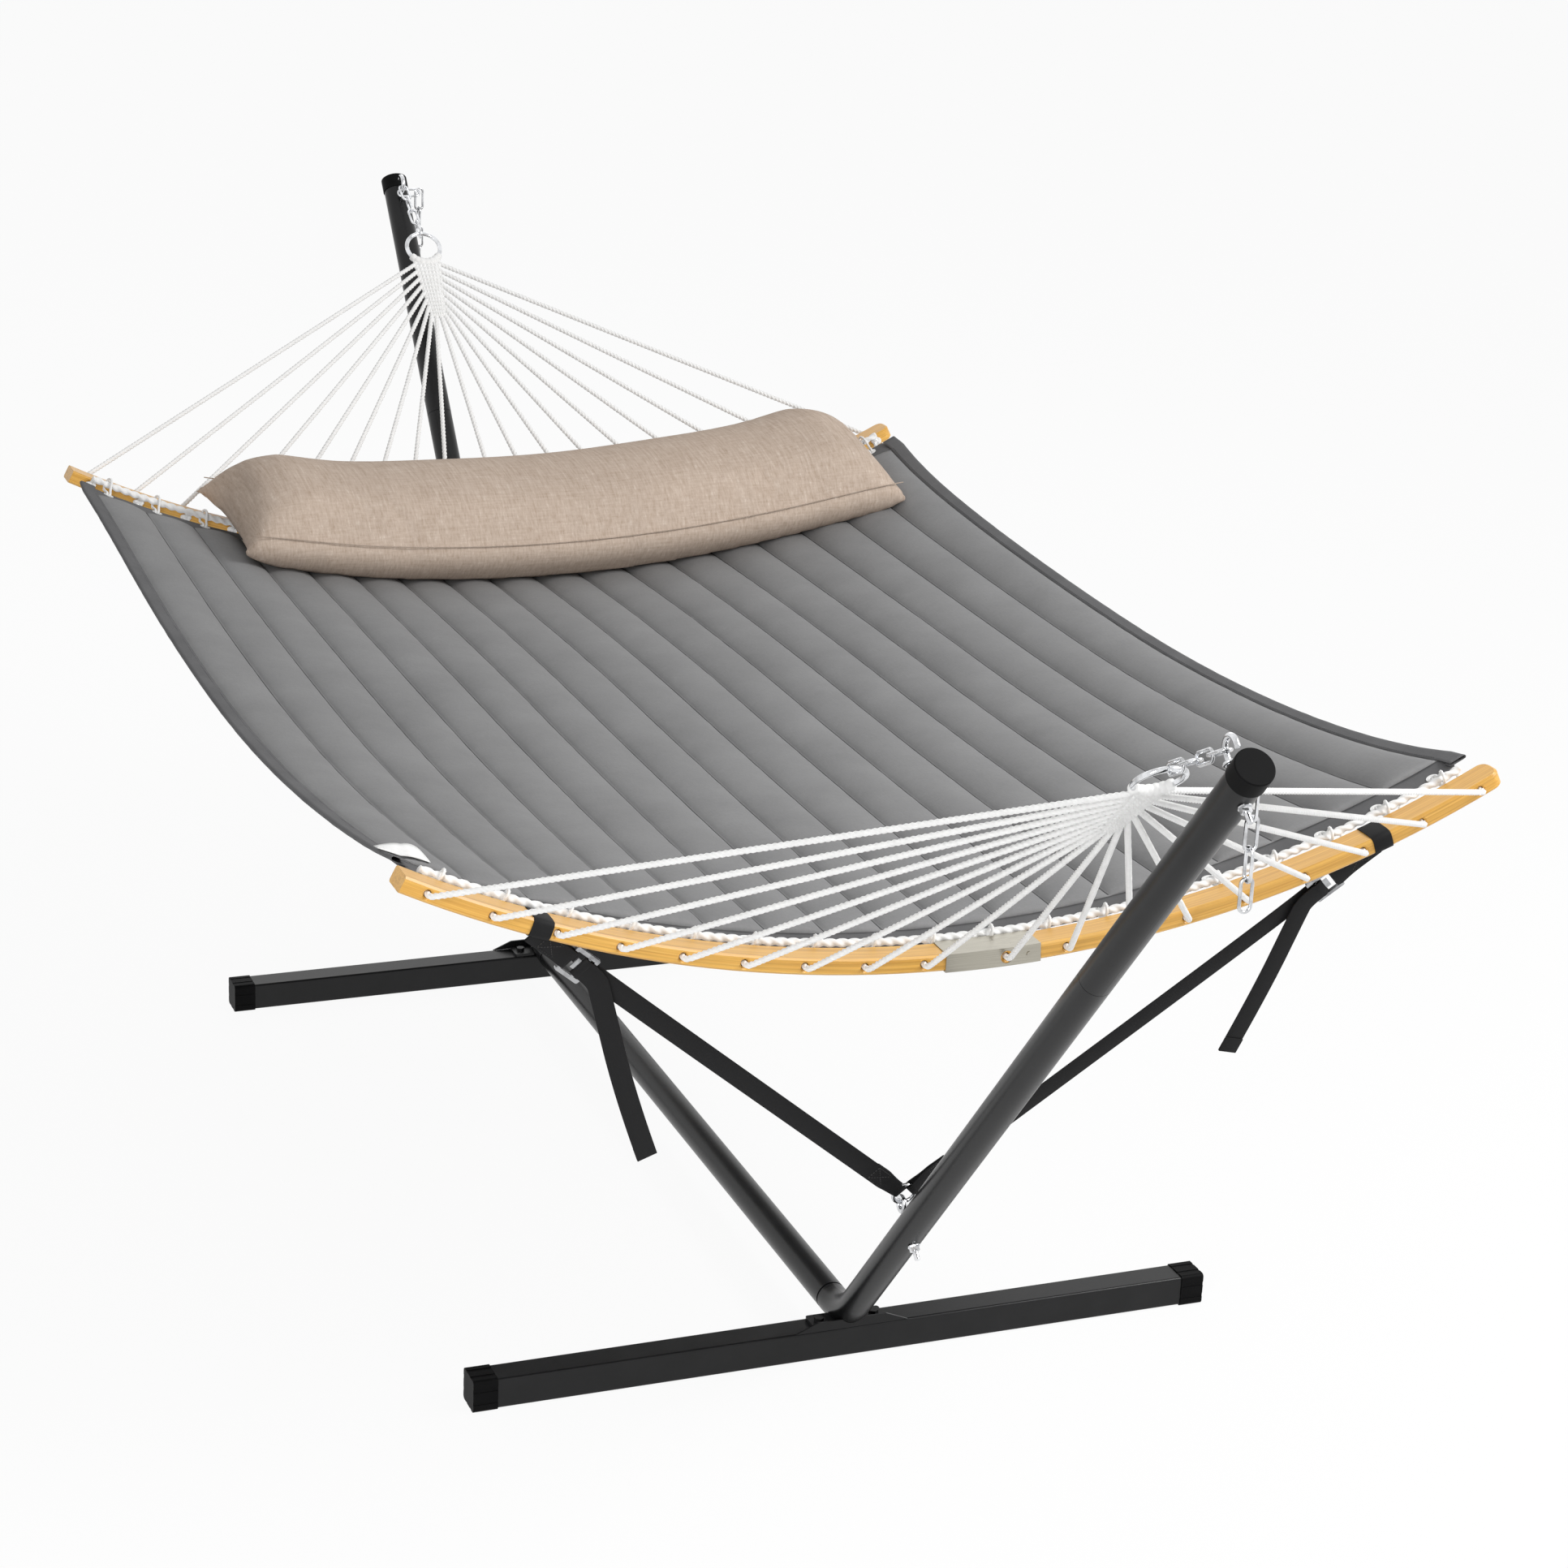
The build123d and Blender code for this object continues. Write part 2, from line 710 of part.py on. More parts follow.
def lacing_rope(side, middle_z):
    """Rope along the inside of a bar."""
    rope_end = bed_half_width
    with BuildPart() as rope:
        with BuildLine(Plane.YZ.offset(side * (bar_inner - lacing_setback))):
            path = ThreePointArc(
                arc_point(middle_z, -rope_end, lacing_rise),
                arc_point(middle_z, 0, lacing_rise),
                arc_point(middle_z, rope_end, lacing_rise),
            )
        with BuildSketch(Plane(origin=path @ 0, z_dir=path % 0)):
            Circle(lacing_diameter / 2)
        sweep()
    return rope.part


def eyelet_loop(side, plane):
    """Short loop from the lacing rope down through an eyelet."""
    rope = (side * (eyelet_inset + lacing_gap - lacing_setback), lacing_rise)
    shoulder = (side * loop_diameter / 2, lacing_rise - loop_diameter)
    reach = Vector(shoulder[0] - rope[0], shoulder[1] - rope[1])
    start = Vector(*rope) + reach.normalized() * (lacing_diameter / 2 + slip_clearance)
    with BuildPart() as loop:
        with BuildLine(Plane(origin=plane.origin, x_dir=(1, 0, 0), z_dir=-plane.y_dir)):
            path = FilletPolyline((start.X, start.Y), shoulder, (0, -loop_diameter), radius=loop_diameter)
        with BuildSketch(Plane(origin=path @ 0, z_dir=path % 0)):
            Circle(loop_diameter / 2)
        sweep()
    return loop.part


bar_middles = {
    "front": (1, front_bar_height - bar_sag),
    "rear": (-1, rear_bar_height - bar_sag),
}
eyelet_rows = []
rivets = []
for end, (side, middle_z) in bar_middles.items():
    left_bar = bar_half(side, middle_z, bar_joint - slip_clearance, -bar_half_length, left_holes, False)
    write(left_bar, f"{end}_left_bar")
    right_bar = bar_half(side, middle_z, bar_joint, bar_half_length, right_holes, True)
    write(right_bar, f"{end}_right_bar")
    write(bar_sleeve(side, middle_z), f"{end}_bar_sleeve")
    rivets.append(sleeve_rivet(side, middle_z))

    # The ring hangs from the chain in line with the middle of the bar
    top = Vector(side * ring_top.X, 0, ring_top.Z)
    bar_middle = Vector(side * bar_outer, 0, middle_z)
    pull = (bar_middle - top).normalized()
    ring_centre = top + pull * ring_radius
    clew_plane = Plane(origin=ring_centre, x_dir=pull, z_dir=pull.cross(across))
    write(hammock_ring(ring_centre, clew_plane), f"{end}_ring")
    write(clew_mat(clew_plane), f"{end}_clew")

    cords = []
    for number in range(holes_per_half):
        cords.append(suspension_cord(side, middle_z, left_holes[number], number, clew_plane))
        cords.append(suspension_cord(side, middle_z, right_holes[number], number, clew_plane))
    write(group(cords), f"{end}_suspension_cords")

    band = arc_block(
        middle_z,
        side * bed_half_span,
        side * band_outer,
        -bed_half_width,
        bed_half_width,
        band_thickness / 2,
    )
    eyelet_planes = [
        eyelet_plane(side, middle_z, -eyelet_reach + number * eyelet_pitch) for number in range(eyelet_count)
    ]
    eyelet_rows.append(eyelet_planes)
    with BuildPart() as end_band:
        add(band)
        with Locations(*eyelet_planes):
            Cylinder(eyelet_barrel / 2 + running_clearance, 4 * band_thickness, mode=Mode.SUBTRACT)
    write(end_band.part, f"{end}_end_band")

    loops = [eyelet_loop(side, plane) for plane in eyelet_planes]
    write(group([lacing_rope(side, middle_z), *loops]), f"{end}_lacing")

write(group(rivets), "sleeve_rivets")

with BuildPart() as eyelets:
    flange_rise = band_thickness / 2 + slip_clearance + eyelet_flange_thickness / 2
    for row in eyelet_rows:
        with Locations(*row):
            Cylinder(eyelet_barrel / 2, 2 * flange_rise)
            with Locations((0, 0, flange_rise), (0, 0, -flange_rise)):
                Cylinder(eyelet_flange / 2, eyelet_flange_thickness)
            Cylinder(eyelet_bore / 2, 4 * flange_rise, mode=Mode.SUBTRACT)
write(eyelets.part, "eyelets")

# The bed flattens from the bars' arc at its ends to a shallow arc in the middle
bed_arc_half = bar_radius * math.asin(bed_half_width / bar_radius)
channel_width = 2 * (bed_arc_half - bed_hem) / bed_channels


def bed_station(x):
    """Height of the bed's middle line and its cross radius at a place along the bed."""
    share = (x / bed_half_span) ** 2
    end_height = (front_bar_height if x > 0 else rear_bar_height) - bar_sag
    height = bed_mid_height + (end_height - bed_mid_height) * share
    bend = 1 / bed_mid_radius + (1 / bar_radius - 1 / bed_mid_radius) * share
    return height, 1 / bend


def bed_point(x, across_bed, rise):
    """Point (y, z) of the bed's section, by its distance across the cloth."""
    height, radius = bed_station(x)
    angle = across_bed / radius
    reach = radius - rise
    return (reach * math.sin(angle), height + radius - reach * math.cos(angle))


def bed_height(x, y, rise):
    """Height of the bed's surface over a place on the floor."""
    height, radius = bed_station(x)
    return height + radius - math.sqrt(radius**2 - y**2) + rise


with BuildPart() as bed:
    seam = bed_seam_thickness / 2
    quilt_half = bed_arc_half - bed_hem
    for x in (-bed_half_span, -pillow_front, 0, pillow_front, bed_half_span):
        with BuildSketch(Plane.YZ.offset(x)):
            with BuildLine():
                Line(bed_point(x, -bed_arc_half, seam), bed_point(x, -quilt_half, seam))
                for number in range(bed_channels):
                    left = -quilt_half + number * channel_width
                    ThreePointArc(
                        bed_point(x, left, seam),
                        bed_point(x, left + channel_width / 2, seam + bed_crown),
                        bed_point(x, left + channel_width, seam),
                    )
                Polyline(
                    bed_point(x, quilt_half, seam),
                    bed_point(x, bed_arc_half, seam),
                    bed_point(x, bed_arc_half, -seam),
                    bed_point(x, quilt_half, -seam),
                )
                for number in range(bed_channels):
                    right = quilt_half - number * channel_width
                    ThreePointArc(
                        bed_point(x, right, -seam),
                        bed_point(x, right - channel_width / 2, -seam - bed_belly),
                        bed_point(x, right - channel_width, -seam),
                    )
                Polyline(
                    bed_point(x, -quilt_half, -seam),
                    bed_point(x, -bed_arc_half, -seam),
                    bed_point(x, -bed_arc_half, seam),
                )
            make_face()
    loft()
write(bed.part, "bed")

rear_middle = rear_bar_height - bar_sag


def pillow_rest(share, y):
    """Height of what the pillow lies on, from the bed at its front edge to the bar at its back edge."""
    front_z = bed_height(-pillow_front, y, bed_seam_thickness / 2 + bed_crown + pillow_clearance)
    back_z = arc_point(rear_middle, y)[1] + pillow_bar_rise
    return front_z + (back_z - front_z) * share


def pillow_outline(turn):
    """Place along X, underside points and top points of one section across the pillow."""
    share = (1 - math.cos(turn)) / 2
    half_length = pillow_half_length - pillow_end_hollow * math.sin(turn)
    edge = pillow_front_edge + (pillow_back_edge - pillow_front_edge) * share
    height = edge + (pillow_thickness - edge) * math.sin(turn)
    underside = []
    top = []
    for number in range(pillow_stations):
        station = math.pi * number / (pillow_stations - 1)
        y = pillow_offset - half_length * math.cos(station)
        z = pillow_rest(share, y)
        underside.append((y, z))
        top.append((y, z + height * max(0, math.sin(station)) ** pillow_fullness))
    top[0] = underside[0]
    top[-1] = underside[-1]
    return -pillow_front - (pillow_back - pillow_front) * share, underside, top


# Two sewn panels, pointed at the corners, with ends that pull in between them
with BuildPart() as pillow:
    for number in range(pillow_sections):
        section_x, underside, top = pillow_outline(math.pi * number / (pillow_sections - 1))
        with BuildSketch(Plane.YZ.offset(section_x)):
            with BuildLine():
                Spline(*underside)
                Spline(*top)
            make_face()
    loft()
write(pillow.part, "pillow")

# Both straps lie in one plane, from the anchor ring on the eyebolt up to the front bar
front_middle = front_bar_height - bar_sag
strap_bar_angle = math.asin(strap_y / bar_radius)
wrap_gap = bar_thickness / 2 + running_clearance + strap_thickness
strap_top_y, strap_top_z = arc_point(front_middle, strap_y, -wrap_gap)
strap_top = Vector(bar_x, 0, strap_top_z)
strap_rise = (strap_top - eye_centre).normalized()
anchor_slack = eye_radius - eyebolt_wire / 2 - anchor_wire / 2 - running_clearance
anchor_centre = eye_centre + strap_rise * (anchor_slack + anchor_radius)
strap_plane = Plane(origin=anchor_centre, x_dir=across, z_dir=across.cross(strap_rise))
with BuildPart() as anchor_ring:
    with Locations(strap_plane):
        Torus(anchor_radius, anchor_wire / 2)
write(anchor_ring.part, "anchor_ring")

strap_height = (strap_top - anchor_centre).length
strap_run = Vector(strap_top_y, strap_height)
strap_length = strap_run.length
strap_angle = math.degrees(math.atan2(strap_run.Y, strap_run.X))
buckle_at = strap_length - buckle_drop
roller_at = buckle_at - roller_drop
window_width = buckle_width - 2 * buckle_bar
window_length = buckle_length - 2 * buckle_bar
top_bar_at = buckle_at + (buckle_length - buckle_bar) / 2
bar_wrap = buckle_bar + 2 * running_clearance + 2 * strap_thickness
loop_start = top_bar_at + bar_wrap / 2 - strap_thickness / 2


def strap_frame(distance):
    """Plane in the straps' plane, its X axis up the left strap, at a distance from the anchor."""
    turn = math.radians(180 - strap_angle)
    up = strap_plane.x_dir * math.cos(turn) + strap_plane.y_dir * math.sin(turn)
    return Plane(origin=strap_plane.origin + up * distance, x_dir=up, z_dir=strap_plane.z_dir)


def write_both_straps(part, name):
    """Write a left strap piece and its mirror image on the right."""
    write(part, f"left_{name}")
    write(mirrored(part, Plane.XZ), f"right_{name}")


with BuildPart() as strap_loop:
    bar_point = arc_point(front_middle, -strap_y)
    wrap_plane = Plane(
        origin=(bar_x, *bar_point),
        x_dir=(1, 0, 0),
        z_dir=(0, math.cos(strap_bar_angle), -math.sin(strap_bar_angle)),
    )
    wrap_depth = bar_depth + 2 * running_clearance
    wrap_height = bar_thickness + 2 * running_clearance
    with BuildSketch(wrap_plane):
        Rectangle(wrap_depth + 2 * strap_thickness, wrap_height + 2 * strap_thickness)
        Rectangle(wrap_depth, wrap_height, mode=Mode.SUBTRACT)
    extrude(amount=strap_width / 2, both=True)
    doubled_length = strap_length - loop_start
    with BuildSketch(strap_frame(loop_start)):
        with Locations((doubled_length / 2, 0)):
            Rectangle(doubled_length, strap_width)
    extrude(amount=strap_thickness, both=True)
    bar_room = arc_block(
        front_middle,
        bar_inner - running_clearance,
        bar_outer + running_clearance,
        -strap_y - 2 * strap_width,
        -strap_y + 2 * strap_width,
        bar_thickness / 2 + running_clearance,
    )
    add(bar_room, mode=Mode.SUBTRACT)
    with BuildSketch(strap_frame(top_bar_at)):
        Rectangle(bar_wrap, strap_width)
    extrude(amount=buckle_thickness / 2 + running_clearance + strap_thickness, both=True)
    with BuildSketch(strap_frame(top_bar_at)):
        Rectangle(bar_wrap - 2 * strap_thickness, buckle_width)
    extrude(amount=buckle_thickness / 2 + running_clearance, both=True, mode=Mode.SUBTRACT)
write_both_straps(strap_loop.part, "strap_loop")

with BuildPart() as buckle_frame:
    with BuildSketch(strap_frame(buckle_at)):
        RectangleRounded(buckle_length, buckle_width, buckle_bar / 2)
        Rectangle(window_length, window_width, mode=Mode.SUBTRACT)
    extrude(amount=buckle_thickness / 2, both=True)
    with BuildSketch(strap_frame(buckle_at - (buckle_length - buckle_bar) / 2)):
        Rectangle(2 * buckle_bar, strap_width + 4 * running_clearance)
    extrude(amount=strap_thickness / 2 + running_clearance, both=True, mode=Mode.SUBTRACT)
write_both_straps(buckle_frame.part, "buckle_frame")

with BuildPart() as buckle_roller:
    roller_plane = strap_frame(roller_at)
    roller_length = window_width - 2 * running_clearance
    with BuildSketch(Plane(origin=roller_plane.origin, x_dir=roller_plane.x_dir, z_dir=roller_plane.y_dir)):
        Circle(roller_diameter / 2)
    extrude(amount=roller_length / 2, both=True)
    with BuildSketch(roller_plane):
        with Locations((thumb_tab_length / 2, 0)):
            Rectangle(thumb_tab_length, roller_length / 2)
    extrude(amount=strap_thickness / 2, both=True)
write_both_straps(buckle_roller.part, "buckle_roller")

with BuildPart() as strap_span:
    span_start = anchor_radius
    span_end = roller_at - roller_diameter / 2 - running_clearance
    with BuildSketch(strap_frame(span_start)):
        span_length = span_end - span_start
        with Locations((span_length / 2, 0)):
            Rectangle(span_length, strap_width)
    extrude(amount=strap_thickness / 2, both=True)
    wire_room = anchor_wire / 2 + running_clearance
    span_foot = strap_frame(span_start)
    with BuildSketch(Plane(origin=span_foot.origin, x_dir=span_foot.x_dir, z_dir=span_foot.y_dir)):
        Circle(wire_room + strap_thickness)
    extrude(amount=strap_foot_width / 2, both=True)
    with Locations(strap_plane):
        Torus(anchor_radius, wire_room, mode=Mode.SUBTRACT)
    add(strap_eyebolt.part, mode=Mode.SUBTRACT)
write_both_straps(strap_span.part, "strap_span")

# The free end of each strap leaves the roller and hangs more steeply than the strap
def strap_tail(length, hang_angle):
    """Free end of the left strap."""
    tail_lift = roller_diameter / 2 + running_clearance + strap_thickness / 2
    tail_plane = strap_frame(roller_at).offset(tail_lift)
    turn = math.radians(90 - hang_angle - strap_angle)
    hang = length - tail_lead
    with BuildPart() as tail:
        with BuildLine(tail_plane):
            path = FilletPolyline(
                (0, 0),
                (-tail_lead, 0),
                (-tail_lead - hang * math.cos(turn), hang * math.sin(turn)),
                radius=tail_curve / math.tan(abs(turn) / 2),
            )
        with BuildSketch(Plane(origin=path @ 0, x_dir=tail_plane.z_dir, z_dir=path % 0)):
            Rectangle(strap_thickness, strap_width)
        sweep()
    return tail.part


write(strap_tail(left_tail_length, left_tail_hang), "left_strap_tail")
write(mirrored(strap_tail(right_tail_length, right_tail_hang), Plane.XZ), "right_strap_tail")
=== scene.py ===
import bisect
import json
import math

import bmesh
import bpy
from mathutils import Matrix, Vector, noise


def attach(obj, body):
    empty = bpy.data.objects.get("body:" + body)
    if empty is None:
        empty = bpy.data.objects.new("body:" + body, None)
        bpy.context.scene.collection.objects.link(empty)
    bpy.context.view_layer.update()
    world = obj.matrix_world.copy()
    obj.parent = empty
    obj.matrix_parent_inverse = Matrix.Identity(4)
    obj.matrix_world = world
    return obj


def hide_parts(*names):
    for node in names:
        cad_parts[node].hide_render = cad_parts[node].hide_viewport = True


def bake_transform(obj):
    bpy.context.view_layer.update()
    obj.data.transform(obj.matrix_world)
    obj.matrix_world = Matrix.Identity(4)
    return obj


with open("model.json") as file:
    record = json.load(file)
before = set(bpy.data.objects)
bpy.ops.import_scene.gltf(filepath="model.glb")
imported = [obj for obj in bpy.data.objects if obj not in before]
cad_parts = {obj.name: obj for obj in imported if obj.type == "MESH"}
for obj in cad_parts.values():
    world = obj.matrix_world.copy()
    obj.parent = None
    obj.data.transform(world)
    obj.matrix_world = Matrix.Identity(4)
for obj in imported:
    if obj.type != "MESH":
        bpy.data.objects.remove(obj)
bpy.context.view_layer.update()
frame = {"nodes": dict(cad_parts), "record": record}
scene = bpy.context.scene

# Sizes in metres, as in the solids
BAR_X = 1.128
BAR_DEPTH = 0.046
BAR_INNER = BAR_X - BAR_DEPTH / 2
BAR_OUTER = BAR_X + BAR_DEPTH / 2
BAR_HALF = 0.811
BAR_SAG = 0.193
BAR_R = (BAR_HALF**2 + BAR_SAG**2) / (2 * BAR_SAG)
BAR_MIDDLE = {"front": 0.797, "rear": 0.743}
SIDE = {"front": 1.0, "rear": -1.0}
LEFT_HOLES = [-(0.077 + 0.0875 * i) for i in range(9)]
RIGHT_HOLES = [0.045 + 0.0915 * i for i in range(9)]
CORD_R = 0.0046
CORD_SPACING = 0.0092
CORD_STEP = 0.017
CORD_TURN_X = 1.160
CORD_MOUTH_X = 1.148
CORD_KNOT_X = 1.09985
RING_TOP = Vector((1.658308, 0.0, 1.248901))
RING_R = 0.0335
CLEW_LENGTH = 0.160
CLEW_PLAIT = 0.0088
BED_HALF_SPAN = 1.027
BED_HALF_WIDTH = 0.780
BED_ARC = BAR_R * math.asin(BED_HALF_WIDTH / BAR_R)
BED_HEM = 0.022
CHANNELS = 18
CHANNEL = 2 * (BED_ARC - BED_HEM) / CHANNELS
BED_MID = 0.785
BED_MID_R = 3.8
EYELETS = [-0.752 + i * 2 * 0.752 / 17 for i in range(18)]
BAND_OUTER = BAR_INNER - 0.028
EYELET_X = BAND_OUTER - 0.015
PILLOW_FRONT = -0.780
PILLOW_BACK = -1.165
PILLOW_Y = 0.077
PILLOW_HALF = 0.640
SEAM_SHARES = (-0.955, -0.90, -0.82, -0.66, -0.48, -0.28, -0.08, 0.14, 0.34, 0.54, 0.70, 0.84, 0.90, 0.955)
LABEL_X = 1.008
LABEL_FROM = -0.816
LABEL_REACH = 0.068
LABEL_WIDTH = 0.028
WEB_WIDTH = 0.030
WEB = 0.0018
STRAP_UP = Vector((0.202574, -0.740910, 0.640325))
STRAP_ACROSS = Vector((-0.223479, -0.671604, -0.706403))
STRAP_OUT = Vector((0.953426, 0.0, -0.301627))
STRAP_Y = -0.624
ANCHOR = Vector((0.956055, 0.0, 0.351856))
ROLLER_AT = 0.7488
BAR_UNDERSIDE = 0.8488


# Material helpers
def new_material(name):
    material = bpy.data.materials.new(name)
    material.use_nodes = True
    tree = material.node_tree
    return material, tree, tree.nodes["Principled BSDF"]


def node(tree, kind, **values):
    made = tree.nodes.new(kind)
    for key, value in values.items():
        if key.startswith("in_"):
            made.inputs[key[3:].replace("_", " ")].default_value = value
        else:
            setattr(made, key, value)
    return made


def coordinates(tree, scale=(1, 1, 1), source="Object"):
    """Object or UV coordinates with a scale on each axis."""
    texture = node(tree, "ShaderNodeTexCoord")
    mapping = node(tree, "ShaderNodeMapping")
    mapping.inputs["Scale"].default_value = scale
    tree.links.new(texture.outputs[source], mapping.inputs["Vector"])
    return mapping.outputs["Vector"]


def noise_of(tree, vector, scale, detail=3.0, roughness=0.55):
    made = node(tree, "ShaderNodeTexNoise", in_Scale=scale, in_Detail=detail, in_Roughness=roughness)
    tree.links.new(vector, made.inputs["Vector"])
    return made.outputs["Fac"]


def ramp(tree, factor, *stops):
    made = node(tree, "ShaderNodeValToRGB")
    while len(made.color_ramp.elements) < len(stops):
        made.color_ramp.elements.new(0.5)
    for element, (place, colour) in zip(made.color_ramp.elements, stops):
        element.position = place
        element.color = (*colour, 1.0)
    tree.links.new(factor, made.inputs["Fac"])
    return made.outputs["Color"]


def blended(tree, kind, factor, first, second):
    made = node(tree, "ShaderNodeMix", data_type="RGBA", blend_type=kind)
    made.inputs[0].default_value = factor
    tree.links.new(first, made.inputs[6])
    tree.links.new(second, made.inputs[7])
    return made.outputs[2]


def sums(tree, operation, first, second):
    made = node(tree, "ShaderNodeMath", operation=operation)
    for socket, value in ((made.inputs[0], first), (made.inputs[1], second)):
        if isinstance(value, (int, float)):
            socket.default_value = value
        else:
            tree.links.new(value, socket)
    return made.outputs[0]


def bump(tree, shader, height, strength, distance):
    made = node(tree, "ShaderNodeBump", in_Strength=strength, in_Distance=distance)
    tree.links.new(height, made.inputs["Height"])
    tree.links.new(made.outputs["Normal"], shader.inputs["Normal"])


def roughness_range(tree, shader, factor, low, high):
    made = node(tree, "ShaderNodeMapRange")
    made.inputs["To Min"].default_value = low
    made.inputs["To Max"].default_value = high
    tree.links.new(factor, made.inputs["Value"])
    tree.links.new(made.outputs["Result"], shader.inputs["Roughness"])


def painted(name, dark, light, rough, specular, grain_scale, grain_strength):
    """Black coat or plastic: fine grain in the height, faint clouding in colour and gloss."""
    material, tree, shader = new_material(name)
    place = coordinates(tree)
    cloud = noise_of(tree, place, 18.0, 4.0)
    tree.links.new(ramp(tree, cloud, (0.3, dark), (0.75, light)), shader.inputs["Base Color"])
    roughness_range(tree, shader, cloud, *rough)
    shader.inputs["Specular IOR Level"].default_value = specular
    bump(tree, shader, noise_of(tree, place, grain_scale, 2.0), grain_strength, 0.0004)
    return material


def plated(name, low, high, dark, light):
    """Plated wire: mottled shine with fine scratches."""
    material, tree, shader = new_material(name)
    cloud = noise_of(tree, coordinates(tree), 60.0, 3.0, 0.5)
    scratch = noise_of(tree, coordinates(tree, (900, 900, 120)), 1.0, 3.0)
    tree.links.new(ramp(tree, cloud, (0.36, dark), (0.60, light)), shader.inputs["Base Color"])
    shader.inputs["Metallic"].default_value = 1.0
    roughness_range(tree, shader, cloud, low, high)
    bump(tree, shader, scratch, 0.05, 0.0003)
    return material


def brushed_nickel():
    material, tree, shader = new_material("brushed_nickel")
    lines = noise_of(tree, coordinates(tree, (1600, 10, 1600)), 1.0, 4.0)
    cloud = noise_of(tree, coordinates(tree), 40.0, 3.0)
    shade = ramp(tree, lines, (0.25, (0.34, 0.32, 0.27)), (0.75, (0.52, 0.495, 0.425)))
    tree.links.new(shade, shader.inputs["Base Color"])
    shader.inputs["Metallic"].default_value = 1.0
    roughness_range(tree, shader, cloud, 0.24, 0.36)
    bump(tree, shader, lines, 0.12, 0.0003)
    return material


def bamboo(end):
    """Laminated strips with fine fibres that follow the bend of the bar, and a node line now and then."""
    material, tree, shader = new_material(f"{end}_bamboo")
    place = node(tree, "ShaderNodeSeparateXYZ")
    tree.links.new(coordinates(tree), place.inputs["Vector"])
    below = sums(tree, "SUBTRACT", BAR_MIDDLE[end] + BAR_R, place.outputs["Z"])
    squares = sums(tree, "ADD", sums(tree, "POWER", place.outputs["Y"], 2.0), sums(tree, "POWER", below, 2.0))
    radial = sums(tree, "SQRT", squares, 0.0)
    along = sums(tree, "MULTIPLY", sums(tree, "ARCTAN2", place.outputs["Y"], below), BAR_R)

    def grain(across_scale, along_scale, depth_scale):
        made = node(tree, "ShaderNodeCombineXYZ")
        tree.links.new(sums(tree, "MULTIPLY", place.outputs["X"], across_scale), made.inputs["X"])
        tree.links.new(sums(tree, "MULTIPLY", along, along_scale), made.inputs["Y"])
        tree.links.new(sums(tree, "MULTIPLY", radial, depth_scale), made.inputs["Z"])
        return made.outputs["Vector"]

    fibres = noise_of(tree, grain(420, 5, 420), 1.0, 5.0, 0.65)
    bands = noise_of(tree, grain(75, 0.8, 150), 1.0, 2.0)
    base = ramp(
        tree, fibres, (0.28, (0.60, 0.29, 0.042)), (0.55, (0.77, 0.43, 0.082)), (0.8, (0.87, 0.56, 0.150))
    )
    strips = ramp(tree, bands, (0.35, (0.80, 0.76, 0.68)), (0.5, (1.0, 1.0, 1.0)), (0.68, (0.90, 0.86, 0.78)))
    ring = node(tree, "ShaderNodeTexVoronoi", feature="F1", in_Scale=1.0)
    tree.links.new(grain(30, 6.5, 60), ring.inputs["Vector"])
    mark = ramp(tree, ring.outputs["Distance"], (0.0, (0.66, 0.54, 0.40)), (0.07, (1.0, 1.0, 1.0)))
    colour = blended(tree, "MULTIPLY", 0.7, blended(tree, "MULTIPLY", 0.8, base, strips), mark)
    tree.links.new(colour, shader.inputs["Base Color"])
    roughness_range(tree, shader, fibres, 0.30, 0.46)
    shader.inputs["Coat Weight"].default_value = 0.2
    shader.inputs["Coat Roughness"].default_value = 0.3
    bump(tree, shader, fibres, 0.12, 0.0004)
    return material


def cotton():
    material, tree, shader = new_material("cotton")
    place = coordinates(tree)
    fuzz = noise_of(tree, place, 1500.0, 3.0, 0.7)
    cloud = noise_of(tree, place, 60.0, 3.0)
    shade = ramp(tree, cloud, (0.25, (0.88, 0.878, 0.87)), (0.7, (0.94, 0.938, 0.93)))
    tree.links.new(shade, shader.inputs["Base Color"])
    shader.inputs["Roughness"].default_value = 0.88
    shader.inputs["Sheen Weight"].default_value = 0.15
    bump(tree, shader, fuzz, 0.35, 0.0008)
    return material


def grey_cloth(name, dark, light, weave_strength=0.25):
    """Close plain weave: two crossed threads in the height, mottled colour."""
    material, tree, shader = new_material(name)
    along = noise_of(tree, coordinates(tree, (700, 90, 90)), 1.0, 2.0)
    across = noise_of(tree, coordinates(tree, (90, 700, 90)), 1.0, 2.0)
    weave = sums(tree, "ADD", along, across)
    cloud = noise_of(tree, coordinates(tree), 9.0, 4.0)
    base = ramp(tree, cloud, (0.3, dark), (0.7, light))
    mean = sums(tree, "MULTIPLY", weave, 0.5)
    thread = ramp(tree, mean, (0.35, (0.90, 0.90, 0.90)), (0.65, (1.0, 1.0, 1.0)))
    tree.links.new(blended(tree, "MULTIPLY", 1.0, base, thread), shader.inputs["Base Color"])
    shader.inputs["Roughness"].default_value = 0.85
    shader.inputs["Specular IOR Level"].default_value = 0.25
    bump(tree, shader, weave, weave_strength, 0.0006)
    return material


